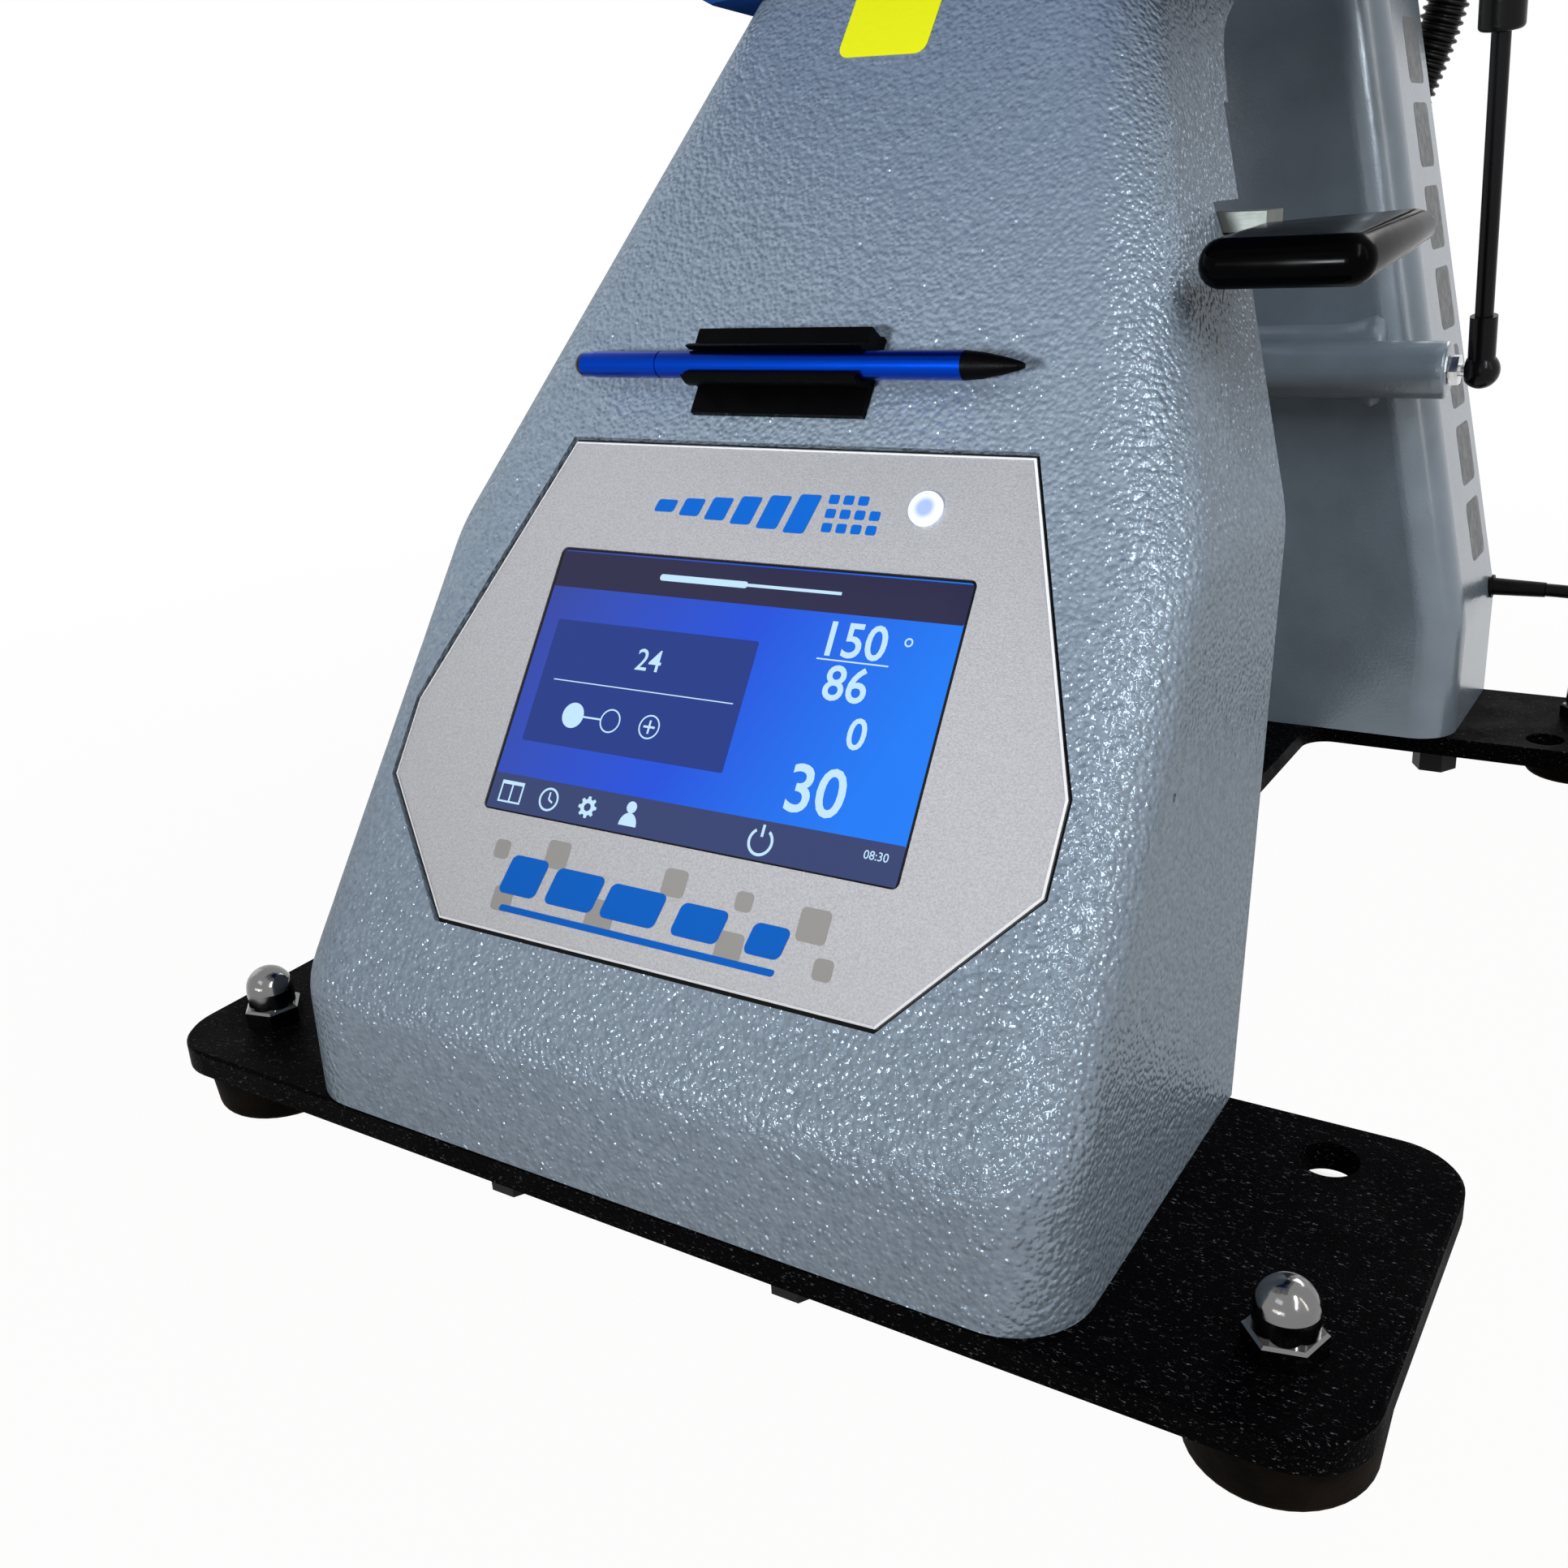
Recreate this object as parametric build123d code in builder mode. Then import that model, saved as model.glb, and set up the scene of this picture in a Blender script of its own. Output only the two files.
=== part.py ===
from build123d import *
import os
from math import cos, degrees, hypot, pi, radians, sin, sqrt, tan

os.makedirs("parts", exist_ok=True)

# Twin-column heat press: a front column with a touch screen carries the lower platen, a rear column
# carries the hinged head. Millimetres, +Z up, +Y to the back. The floor is z = 0, x = 0 is the middle.

# ---------------------------------------------------------------- datum
foot_h = 20.5            # rubber foot, floor to base plate
plate_t = 9.5            # base plate
deck = foot_h + plate_t  # top of the base plate: heights below are above this face
front = -275.0           # front edge of the base plate: depths below are behind this edge

# ---------------------------------------------------------------- driving dimensions
plate_len = 607.0        # base plate, front to back
cross_w = 437.0          # its two cross bars, the front one's depth and where the rear one begins
cross_d = 140.0
rear_bar_y = 515.0
waist_w = 134.0          # the narrow web between them
foot_x, foot_front, foot_rear = 191.5, 31.6, 575.4
mount_x, mount_front, mount_rear = 180.0, 119.0, 532.0

wall = 3.0               # column sheet, measured level
column_h = 372.0         # front column
column_lean = 0.7178     # depth gained per height on its front face
crease_h = 43.5          # where the upright skirt ends
knee_h = 179.0           # where its sides start to taper

rear_column_h = 448.0
rear_knee_h = 58.0
rear_front_y, rear_back_y = 509.0, 606.0

hinge_y, hinge_h = 560.0, 500.0      # axis of the head
open_angle = 40.0                    # the head is stored open
strut_y, strut_h = 497.0, 187.0      # lower ends of the gas struts
strut_x = 139.5
strut_len = 336.0                    # ball to ball, head open
strut_lean = 9.6                     # degrees from upright, head open

platen_w, platen_d = 406.0, 508.0
platen_front = -73.0                 # lower platen's front edge, behind the base plate's
rail_h = 384.0                       # top of the rail bed
carriage_h = 404.0
lower_platen_h = 410.0
pad_h = 420.0
press_h = 430.0                      # heat platen's lower face when closed
cover_top = 478.0


def level(h):
    """Horizontal plane at height h above the base plate."""
    return Plane.XY.offset(deck + h)


def depth(y):
    """Distance behind the front edge of the base plate, as a coordinate."""
    return front + y


def across(x):
    """Plane across the machine at x, drawn with Y to the right and Z up."""
    return Plane(origin=(x, 0, 0), x_dir=(0, 1, 0), z_dir=(1, 0, 0))


def yz(y, h):
    """A point of an `across` plane from a depth and a height."""
    return (front + y, deck + h)


def soft_line(h, knots, soft):
    """Straight runs between the knots, each inner corner eased by a parabola of half-length soft."""
    slopes = [(v1 - v0) / (h1 - h0) for (h0, v0), (h1, v1) in zip(knots, knots[1:])]
    value = knots[0][1] + slopes[0] * (h - knots[0][0])
    for (knot, _), before, after in zip(knots[1:-1], slopes, slopes[1:]):
        reach = min(max(h - knot + soft, 0.0), 2 * soft)
        value += (after - before) * (reach ** 2 / (4 * soft) + max(h - knot - soft, 0.0))
    return value


hinge_axis = Axis((0, depth(hinge_y), deck + hinge_h), (1, 0, 0))


def save(piece, name, head=False):
    """Label and write one sub-part. Head parts are drawn closed and turned to the stored open pose."""
    solid = piece.part.rotate(hinge_axis, -open_angle) if head else piece.part
    solid.label = name
    export_step(solid, f"parts/{name}.step")


# ================================================================ base
foot_spots = [(x, depth(y)) for x in (-foot_x, foot_x) for y in (foot_front, foot_rear)]
mount_spots = [(x, depth(y)) for x in (-mount_x, mount_x) for y in (mount_front, mount_rear)]
front_bolt_spots = [(x, depth(y)) for x, y in (
    (-55, 14), (55, 14), (-55, 126), (55, 126), (-118, 70), (118, 70))]
rear_bolt_spots = [(x, depth(y)) for x in (-128, 128) for y in (533, 590)]

with BuildPart() as base_plate:
    with BuildSketch(Plane.XY.offset(foot_h)) as plate_outline:
        for y0, y1 in ((0, cross_d), (rear_bar_y, plate_len)):
            with Locations((0, depth((y0 + y1) / 2))):
                RectangleRounded(cross_w, y1 - y0, 22)
        with Locations((0, depth((cross_d + rear_bar_y) / 2))):
            Rectangle(waist_w, rear_bar_y - cross_d)
        waist_corners = plate_outline.vertices().filter_by(lambda v: abs(abs(v.X) - waist_w / 2) < 0.1)
        fillet(waist_corners, 14)
    extrude(amount=plate_t)
    chamfer(base_plate.faces().sort_by(Axis.Z)[-1].outer_wire().edges(), 1.0)
    with BuildSketch(Plane.XY.offset(foot_h)):
        with Locations(*foot_spots):
            Circle(6.3)
        with Locations(*mount_spots):
            Circle(9.0)
        with Locations(*front_bolt_spots):
            Circle(5.3)
        with Locations(*rear_bolt_spots):
            Circle(6.3)
        with Locations((0, depth(72)), (0, depth(557))):
            RectangleRounded(120, 62, 12)
    extrude(amount=plate_t, mode=Mode.SUBTRACT)
save(base_plate, "base_plate")

with BuildPart() as rubber_feet:
    with BuildSketch(Plane.XY):
        with Locations(*foot_spots):
            Circle(25)
    extrude(amount=foot_h, taper=-6)
    fillet(rubber_feet.faces().group_by(Axis.Z)[0].edges(), 3)
    with BuildSketch(Plane.XY):
        with Locations(*foot_spots):
            Circle(12.5)
    extrude(amount=9, mode=Mode.SUBTRACT)
    with BuildSketch(Plane.XY):
        with Locations(*foot_spots):
            Circle(6.3)
    extrude(amount=foot_h, mode=Mode.SUBTRACT)
save(rubber_feet, "rubber_feet")

with BuildPart() as foot_bolts:
    with BuildSketch(Plane.XY.offset(1.5)):
        with Locations(*foot_spots):
            RegularPolygon(9.0, 6, major_radius=False)
    extrude(amount=7.5)
    with BuildSketch(Plane.XY.offset(9)):
        with Locations(*foot_spots):
            Circle(6.0)
    extrude(amount=deck + 12 - 9)
save(foot_bolts, "foot_bolts")

nut_flats, nut_hex_h, nut_dome_r, nut_turn = 19.0, 7.0, 8.6, 13.7
with BuildPart() as acorn_nuts:
    with BuildSketch(level(0)):
        with Locations(*foot_spots):
            RegularPolygon(nut_flats / 2, 6, major_radius=False, rotation=nut_turn)
    extrude(amount=nut_hex_h)
    chamfer(acorn_nuts.faces().group_by(Axis.Z)[-1].edges(), 0.8)
    with BuildSketch(level(nut_hex_h)):
        with Locations(*foot_spots):
            Circle(nut_dome_r)
    extrude(amount=6.0 + nut_dome_r)
    fillet(acorn_nuts.edges().filter_by(GeomType.CIRCLE).group_by(Axis.Z)[-1], nut_dome_r - 0.4)
    with BuildSketch(level(0)):
        with Locations(*foot_spots):
            Circle(6.1)
    extrude(amount=13.0, mode=Mode.SUBTRACT)
save(acorn_nuts, "foot_acorn_nuts")

washer_t = 2.0


def column_bolt_set(spots, flats, head_t, shank_r):
    """Bolts put in from below: a hexagon head under each washer, a shank up through the column's flange."""
    with BuildSketch(Plane.XY.offset(foot_h - washer_t)) as heads:
        with Locations(*spots):
            RegularPolygon(flats / 2, 6, major_radius=False)
    extrude(heads.sketch, amount=-head_t)
    with BuildSketch(Plane.XY.offset(foot_h - washer_t)) as shanks:
        with Locations(*spots):
            Circle(shank_r)
    extrude(shanks.sketch, amount=washer_t + plate_t + 8.0)


with BuildPart() as front_column_bolts:
    column_bolt_set(front_bolt_spots, 16.0, 7.0, 5.0)
save(front_column_bolts, "front_column_bolts")

with BuildPart() as rear_column_bolts:
    column_bolt_set(rear_bolt_spots, 19.0, 10.5, 6.0)
save(rear_column_bolts, "rear_column_bolts")

with BuildPart() as column_washers:
    for spots, outer, bore in ((front_bolt_spots, 10.0, 5.3), (rear_bolt_spots, 11.0, 6.3)):
        with BuildSketch(Plane.XY.offset(foot_h)):
            with Locations(*spots):
                Circle(outer)
                Circle(bore, mode=Mode.SUBTRACT)
        extrude(amount=-washer_t)
save(column_washers, "column_washers")

# ================================================================ front column
face_y, face_h = 45.97, 107.56       # a point of the sloped face
face_slope = hypot(1.0, column_lean)
face = Plane(origin=(0, depth(face_y), deck + face_h), x_dir=(1, 0, 0),
             z_dir=(0, -1.0 / face_slope, column_lean / face_slope))

column_top_front = face_y + column_lean * (column_h - face_h)
front_knots = [(0, 0.0), (crease_h, 0.0), (column_h, column_top_front)]
half_w_knots = [(0, 143.3), (knee_h, 137.5), (column_h, 66.6)]
back_knots = [(0, 140.8), (knee_h, 192.4), (column_h, 293.7)]
bend = 6.5
bend_steps = [-bend, -bend / 2, 0.0, bend / 2, bend]
column_heights = [0.0] + [crease_h + s for s in bend_steps] + [knee_h + s for s in bend_steps] + [column_h]


def column_outline(h, inset, back, corner=24.0):
    """Level section of the front column: inset from front and sides, moved out at the back."""
    half = soft_line(h, half_w_knots, bend) - inset
    y_front = depth(soft_line(h, front_knots, bend) + inset)
    y_back = depth(soft_line(h, back_knots, bend) + back)
    with Locations((0, (y_front + y_back) / 2)):
        outline = Rectangle(2 * half, y_back - y_front)
    fillet(outline.vertices().group_by(Axis.Y)[0], corner - inset)


flange_t, cap_t = 8.0, 8.0
slot_x, slot_y, slot_h = 110.0, 232.25, 262.6  # middle and floor of the lever's slot
slot_w, slot_d, slot_t = 30.0, 33.5, 10.1
gusset_floor = 303.0                 # the side sheets flare backwards above this height
gusset_edge = [(262, 303), (270, 314), (277, 322), (283, 327), (291, 331.5), (303, 336.5), (325, 346),
               (350, 360), (356, 372), (280, 372), (250, 303)]
yoke_bolt_spots = [(x, depth(y)) for x in (-44, 44) for y in (252, 280)]
plate_corners = [(85.5, 124.1), (119.6, 25.9), (119.5, -1.4), (81.2, -45.2)]
octagon = plate_corners + [(-u, v) for u, v in reversed(plate_corners)]

with BuildPart() as side_gussets:
    for side in (-1, 1):
        for h in (gusset_floor, column_h):
            with BuildSketch(level(h)):
                with Locations((side * (soft_line(h, half_w_knots, bend) - wall / 2), depth(302.5))):
                    Rectangle(wall, 115)
        loft(ruled=True)
    with BuildSketch(across(-110)):
        Polygon(*[yz(y, h) for y, h in gusset_edge], align=None)
    extrude(amount=220, mode=Mode.INTERSECT)

with BuildPart() as front_column:
    for h in column_heights:
        with BuildSketch(level(h)):
            column_outline(h, 0.0, 0.0)
    loft(ruled=True)
    inner_heights = [flange_t] + column_heights[1:-1] + [column_h - cap_t]
    for h in inner_heights:
        with BuildSketch(level(h)):
            column_outline(h, wall, 12.0)
    loft(ruled=True, mode=Mode.SUBTRACT)
    with BuildSketch(level(0)):
        with Locations((0, depth(72))):
            RectangleRounded(180, 82, 12)
        with Locations(*front_bolt_spots):
            Circle(5.15)
    extrude(amount=flange_t, mode=Mode.SUBTRACT)
    with BuildSketch(level(column_h)):
        with Locations(*yoke_bolt_spots):
            Circle(4.1)
        with Locations((0, depth(266))):
            Circle(16)
    extrude(amount=-cap_t, mode=Mode.SUBTRACT)
    with BuildSketch(face):
        Polygon(*octagon, align=None)
        offset(amount=1.3, kind=Kind.INTERSECTION)
    extrude(amount=8, both=True, mode=Mode.SUBTRACT)
    with BuildSketch(level(slot_h)):
        with Locations((slot_x, depth(slot_y))):
            Rectangle(slot_w, slot_d)
    extrude(amount=slot_t, mode=Mode.SUBTRACT)
    with BuildSketch(across(135)):
        with Locations(yz(88.5, 122.2)):
            Circle(1.3)
    extrude(amount=10, mode=Mode.SUBTRACT)
    add(side_gussets.part)
save(front_column, "front_column")

cover_gap = 1.0
with BuildPart() as column_back_cover:
    for h in [flange_t + 1] + column_heights[6:-1] + [column_h - cap_t - 1]:
        half = soft_line(h, half_w_knots, bend) - wall - cover_gap
        y_back = depth(soft_line(h, back_knots, bend) - 0.5)
        with BuildSketch(level(h)):
            with Locations((0, y_back - 1.0)):
                Rectangle(2 * half, 2.0)
    loft(ruled=True)
    with BuildSketch(level(slot_h)):
        with Locations((slot_x, depth(slot_y))):
            Rectangle(slot_w, slot_d)
    extrude(amount=slot_t, mode=Mode.SUBTRACT)
save(column_back_cover, "column_back_cover")

# ---------------------------------------------------------------- control panel
screen_w, screen_h, screen_v = 154.1, 91.8, 39.3
light_u, light_v = 54.8, 106.3
plate_sink, sheet_t = 1.0, 1.5

with BuildPart() as faceplate:
    with BuildSketch(face.offset(-plate_sink)):
        Polygon(*octagon, align=None)
        with Locations((0, screen_v)):
            RectangleRounded(screen_w + 0.6, screen_h + 0.6, 2.3, mode=Mode.SUBTRACT)
        with Locations((light_u, light_v)):
            Circle(4.2, mode=Mode.SUBTRACT)
    extrude(amount=-sheet_t)
save(faceplate, "faceplate")

backing_front = plate_sink + sheet_t
with BuildPart() as panel_backing:
    with BuildSketch(face.offset(-backing_front)):
        Polygon(*octagon, align=None)
        offset(amount=5.0, kind=Kind.INTERSECTION)
        with Locations((0, screen_v)):
            RectangleRounded(screen_w + 0.6, screen_h + 0.6, 2.3, mode=Mode.SUBTRACT)
        with Locations((light_u, light_v)):
            Circle(4.2, mode=Mode.SUBTRACT)
    extrude(amount=-1.5)
    add(front_column.part, mode=Mode.SUBTRACT)
save(panel_backing, "panel_backing")

module_front = backing_front + 1.6
with BuildPart() as touch_screen:
    with BuildSketch(face.offset(-plate_sink - 0.3)):
        with Locations((0, screen_v)):
            RectangleRounded(screen_w, screen_h, 2.0)
    extrude(amount=plate_sink + 0.3 - module_front)
    with BuildSketch(face.offset(-module_front)):
        with Locations((0, screen_v)):
            RectangleRounded(screen_w + 14, screen_h + 14, 3)
    extrude(amount=-12)
    with BuildSketch(face.offset(-module_front - 12)):
        with Locations((0, screen_v)):
            Rectangle(screen_w - 20, screen_h - 20)
    extrude(amount=-8)
save(touch_screen, "touch_screen")

with BuildPart() as status_light:
    with BuildSketch(face.offset(-plate_sink)):
        with Locations((light_u, light_v)):
            Circle(5.5)
    extrude(amount=1.6)
    fillet(status_light.edges().filter_by(GeomType.CIRCLE).sort_by(SortBy.DISTANCE)[-1], 0.5)
    with BuildSketch(face.offset(-plate_sink)):
        with Locations((light_u, light_v)):
            Circle(4.0)
    extrude(amount=-7)
save(status_light, "status_light")

# ---------------------------------------------------------------- stylus and its clip
pen_r, pen_v, pen_off = 4.4, 148.0, 9.0


def pen_plane(u):
    """Plane across the stylus at u along the panel."""
    centre = face.from_local_coords(Vector(u, pen_v, pen_off))
    return Plane(origin=centre, x_dir=face.y_dir, z_dir=(1, 0, 0))


with BuildPart() as stylus_barrel:
    with BuildSketch(pen_plane(-78)):
        Circle(pen_r - 0.3)
    extrude(amount=-8.6)
    fillet(stylus_barrel.edges().filter_by(GeomType.CIRCLE).sort_by(Axis.X)[0], 3.9)
    with BuildSketch(pen_plane(-78)):
        Circle(pen_r)
    extrude(amount=138.5)
    with BuildSketch(pen_plane(-51)):
        Circle(pen_r + 0.1)
        Circle(pen_r - 0.25, mode=Mode.SUBTRACT)
    extrude(amount=0.6, mode=Mode.SUBTRACT)
save(stylus_barrel, "stylus_barrel")

with BuildPart() as stylus_tip:
    for u, radius in ((60.5, pen_r), (66.0, 3.9), (72.5, 2.7), (77.5, 1.5), (79.3, 0.8)):
        with BuildSketch(pen_plane(u)):
            Circle(radius)
    loft(ruled=True)
save(stylus_tip, "stylus_tip")

clip_u0, clip_u1 = -39.0, 26.0


def clip_plane(u):
    """Plane across the clip: local x runs out from the panel, local y up it."""
    return Plane(origin=face.from_local_coords(Vector(u, 0, 0)), x_dir=face.z_dir, z_dir=(-1, 0, 0))


with BuildPart() as stylus_clip:
    with BuildSketch(clip_plane(clip_u1)):
        with Locations((1.1, pen_v)):
            Rectangle(2.2, 27)
        with Locations((pen_off, pen_v)):
            Circle(pen_r + 2.3)
        with Locations((4.5, pen_v)):
            Rectangle(5, 9)
        with Locations((5.0, pen_v + 9.5)):
            Rectangle(10, 6)
        with Locations((pen_off, pen_v)):
            Circle(pen_r + 0.3, mode=Mode.SUBTRACT)
        with Locations((pen_off + 6.5, pen_v - 0.9)):
            Rectangle(8, 9.2, mode=Mode.SUBTRACT)
    extrude(amount=clip_u1 - clip_u0)
save(stylus_clip, "stylus_clip")

# ================================================================ lower platen support
with BuildPart() as platen_yoke:
    with BuildSketch(level(349)) as skirt:
        Polygon((-84, depth(212)), (84, depth(212)), (109, depth(300)), (-109, depth(300)), align=None)
        fillet(skirt.vertices(), 14)
    with BuildSketch(level(376)) as flare:
        Polygon((-118, depth(160)), (118, depth(160)), (118, depth(352)), (-118, depth(352)), align=None)
        fillet(flare.vertices(), 20)
    loft()
    with BuildSketch(level(376)):
        with Locations((0, depth(250))):
            RectangleRounded(250, 310, 22)
    extrude(amount=8)
    for h in (348.0, column_h):
        with BuildSketch(level(h)):
            column_outline(h, -0.5, 0.5)
    loft(ruled=True, mode=Mode.SUBTRACT)
    with BuildSketch(level(rail_h)):
        with Locations(*yoke_bolt_spots):
            Circle(7.5)
    extrude(amount=-9, mode=Mode.SUBTRACT)
    with BuildSketch(level(rail_h)):
        with Locations(*yoke_bolt_spots):
            Circle(4.3)
        with Locations((0, depth(340))):
            Circle(6.05)
    extrude(amount=-40, mode=Mode.SUBTRACT)
    add(front_column.part, mode=Mode.SUBTRACT)
save(platen_yoke, "platen_yoke")

with BuildPart() as yoke_bolts:
    with BuildSketch(level(rail_h - 9)):
        with Locations(*yoke_bolt_spots):
            Circle(6.5)
    extrude(amount=8)
    with BuildSketch(level(rail_h - 1)):
        with Locations(*yoke_bolt_spots):
            RegularPolygon(3.0, 6, major_radius=False)
    extrude(amount=-4, mode=Mode.SUBTRACT)
    with BuildSketch(level(rail_h - 9)):
        with Locations(*yoke_bolt_spots):
            Circle(4.0)
    extrude(amount=-11)
save(yoke_bolts, "yoke_bolts")

rail_x, rail_y0, rail_y1 = 80.0, 97.0, 403.0
with BuildPart() as slide_rails:
    with BuildSketch(Plane(origin=(0, depth(rail_y0), deck), x_dir=(1, 0, 0), z_dir=(0, -1, 0))):
        with Locations((-rail_x, rail_h + 6), (rail_x, rail_h + 6)):
            Polygon((-7.5, -6), (7.5, -6), (7.5, 0), (5.5, 1.5), (5.5, 3), (7.5, 4.2), (7.5, 6),
                    (-7.5, 6), (-7.5, 4.2), (-5.5, 3), (-5.5, 1.5), (-7.5, 0), align=None)
    extrude(amount=-(rail_y1 - rail_y0))
save(slide_rails, "slide_rails")

block_len = 44.0
block_spots = [(x, depth(y)) for x in (-rail_x, rail_x) for y in (288, 380)]
with BuildPart() as slide_blocks:
    with BuildSketch(level(carriage_h)):
        with Locations(*block_spots):
            Rectangle(34, block_len)
    extrude(amount=-17)
    with BuildSketch(level(carriage_h - 17)):
        with Locations(*block_spots):
            Rectangle(15.6, block_len)
    extrude(amount=rail_h + 12.4 - (carriage_h - 17), mode=Mode.SUBTRACT)
save(slide_blocks, "slide_blocks")

with BuildPart() as carriage_plate:
    with BuildSketch(level(carriage_h)):
        with Locations((0, depth(216))):
            RectangleRounded(220, 392, 14)
        with Locations((0, depth(340))):
            Circle(6.4, mode=Mode.SUBTRACT)
    extrude(amount=lower_platen_h - carriage_h)
save(carriage_plate, "carriage_plate")

platen_mid = platen_front + platen_d / 2
with BuildPart() as lower_platen:
    with BuildSketch(level(lower_platen_h)):
        with Locations((0, depth(platen_mid))):
            RectangleRounded(platen_w, platen_d, 25)
    extrude(amount=pad_h - lower_platen_h)
    fillet(lower_platen.faces().sort_by(Axis.Z)[0].edges(), 2)
save(lower_platen, "lower_platen")

with BuildPart() as lower_pad:
    with BuildSketch(level(pad_h)):
        with Locations((0, depth(platen_mid))):
            RectangleRounded(platen_w - 4, platen_d - 4, 24)
    extrude(amount=9)
    fillet(lower_pad.faces().sort_by(Axis.Z)[-1].edges(), 2.5)
save(lower_pad, "lower_pad")

with BuildPart() as draw_handle:
    with BuildLine() as grab:
        FilletPolyline((-60, depth(20), deck + 404), (-60, depth(-95), deck + 404),
                       (60, depth(-95), deck + 404), (60, depth(20), deck + 404), radius=24)
    with BuildSketch(Plane(origin=(-60, depth(20), deck + 404), z_dir=(0, -1, 0))):
        Circle(6)
    sweep()
save(draw_handle, "draw_handle")

# ---------------------------------------------------------------- release lever and lock pin
bar_h, core_h, lever_t = 263.3, 257.5, 6.0     # undersides of the lever's bar and of the grip's core
pivot_x, pivot_h, pivot_r = 60.0, 262.0, 4.0


def wall_inside(h):
    """Inner face of the column's right wall at height h."""
    return soft_line(h, half_w_knots, bend) - wall


def front_view(y):
    """Plane facing the front at depth y, drawn with X to the right and Z up; extrudes backwards."""
    return Plane(origin=(0, depth(y), 0), x_dir=(-1, 0, 0), z_dir=(0, 1, 0))


with BuildPart() as lever_bracket:
    for y0, y1, reach, floor, top in ((192, 196, 0, 248, 274), (196, 221, 0, 248, 252), (221, 225, 78, 248, 272)):
        with BuildSketch(front_view(y0)):
            Polygon((-50, deck + floor), (-(reach or wall_inside(floor)), deck + floor),
                    (-(reach or wall_inside(top)), deck + top), (-50, deck + top), align=None)
        extrude(amount=y1 - y0)
    with BuildSketch(front_view(192)):
        with Locations((-pivot_x, deck + pivot_h)):
            Circle(pivot_r)
    extrude(amount=33)
save(lever_bracket, "lever_bracket")

with BuildPart() as release_lever:
    with BuildSketch(level(bar_h)):
        Polygon((pivot_x, depth(202)), (90, depth(202)), (98.5, depth(216.4)), (120, depth(216.4)),
                (120, depth(234)), (98, depth(234)), (84, depth(220)), (pivot_x, depth(220)), align=None)
    extrude(amount=lever_t)
    with BuildSketch(level(core_h)):
        Polygon((112, depth(216.4)), (122, depth(214)), (132, depth(163)), (156, depth(163)), (158, depth(224)),
                (142, depth(230)), (126, depth(234)), (112, depth(234)), align=None)
    extrude(amount=lever_t)
    with BuildSketch(level(core_h)):
        with Locations((116, depth(225.2))):
            Rectangle(8, 17.6)
    extrude(amount=bar_h + lever_t - core_h)
    with BuildSketch(front_view(199)):
        with Locations((-pivot_x, deck + pivot_h)):
            Circle(8)
    extrude(amount=21)
    with BuildSketch(front_view(199)):
        with Locations((-pivot_x, deck + pivot_h)):
            Circle(pivot_r + 0.05)
    extrude(amount=23, mode=Mode.SUBTRACT)
save(release_lever, "release_lever")

grip_x0, grip_x1, grip_y0, grip_y1 = 122.0, 168.0, 150.0, 236.0
with BuildPart() as lever_grip:
    with BuildSketch(across(grip_x0)):
        Polygon(yz(grip_y0, 250.3), yz(grip_y0, 264.0), yz(grip_y1, 267.8), yz(grip_y1, 258.0), align=None)
    extrude(amount=grip_x1 - grip_x0)
    fillet(lever_grip.edges().filter_by(Axis.Z), 8)
    fillet(lever_grip.faces().sort_by(Axis.Z)[0].edges(), 5.0)
    fillet(lever_grip.faces().sort_by(Axis.Z)[-1].edges(), 3.6)
    add(release_lever.part, mode=Mode.SUBTRACT)
save(lever_grip, "lever_grip")

with BuildPart() as lock_pin:
    with BuildSketch(level(rail_h - 34)):
        with Locations((0, depth(340))):
            Circle(6.0)
    extrude(amount=carriage_h - 0.8 - (rail_h - 34))
    chamfer(lock_pin.faces().sort_by(Axis.Z)[-1].edges(), 1.2)
    with BuildSketch(level(rail_h - 34)):
        with Locations((0, depth(340))):
            Circle(9.0)
    extrude(amount=-3)
save(lock_pin, "lock_pin")

# ================================================================ rear column
cord_y, cord_h = 597.0, 61.0         # where the mains cord leaves the column
rear_half_knots = [(0, 138.0), (rear_knee_h, 138.0), (rear_column_h, 56.9)]
rear_front_slope = 0.04
rear_heights = [0.0] + [rear_knee_h + s for s in bend_steps] + [rear_column_h]


def rear_half(h):
    """Half-width of the rear column at height h."""
    return soft_line(h, rear_half_knots, bend)


def rear_outline(h, inset, front_corner, back_corner):
    """Level section of the rear column, inset all round."""
    half = rear_half(h) - inset
    y_front = depth(rear_front_y + rear_front_slope * h + inset)
    y_back = depth(rear_back_y - inset)
    with Locations((0, (y_front + y_back) / 2)):
        outline = Rectangle(2 * half, y_back - y_front)
    fillet(outline.vertices().group_by(Axis.Y)[0], front_corner)
    fillet(outline.vertices().group_by(Axis.Y)[-1], back_corner)


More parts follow.
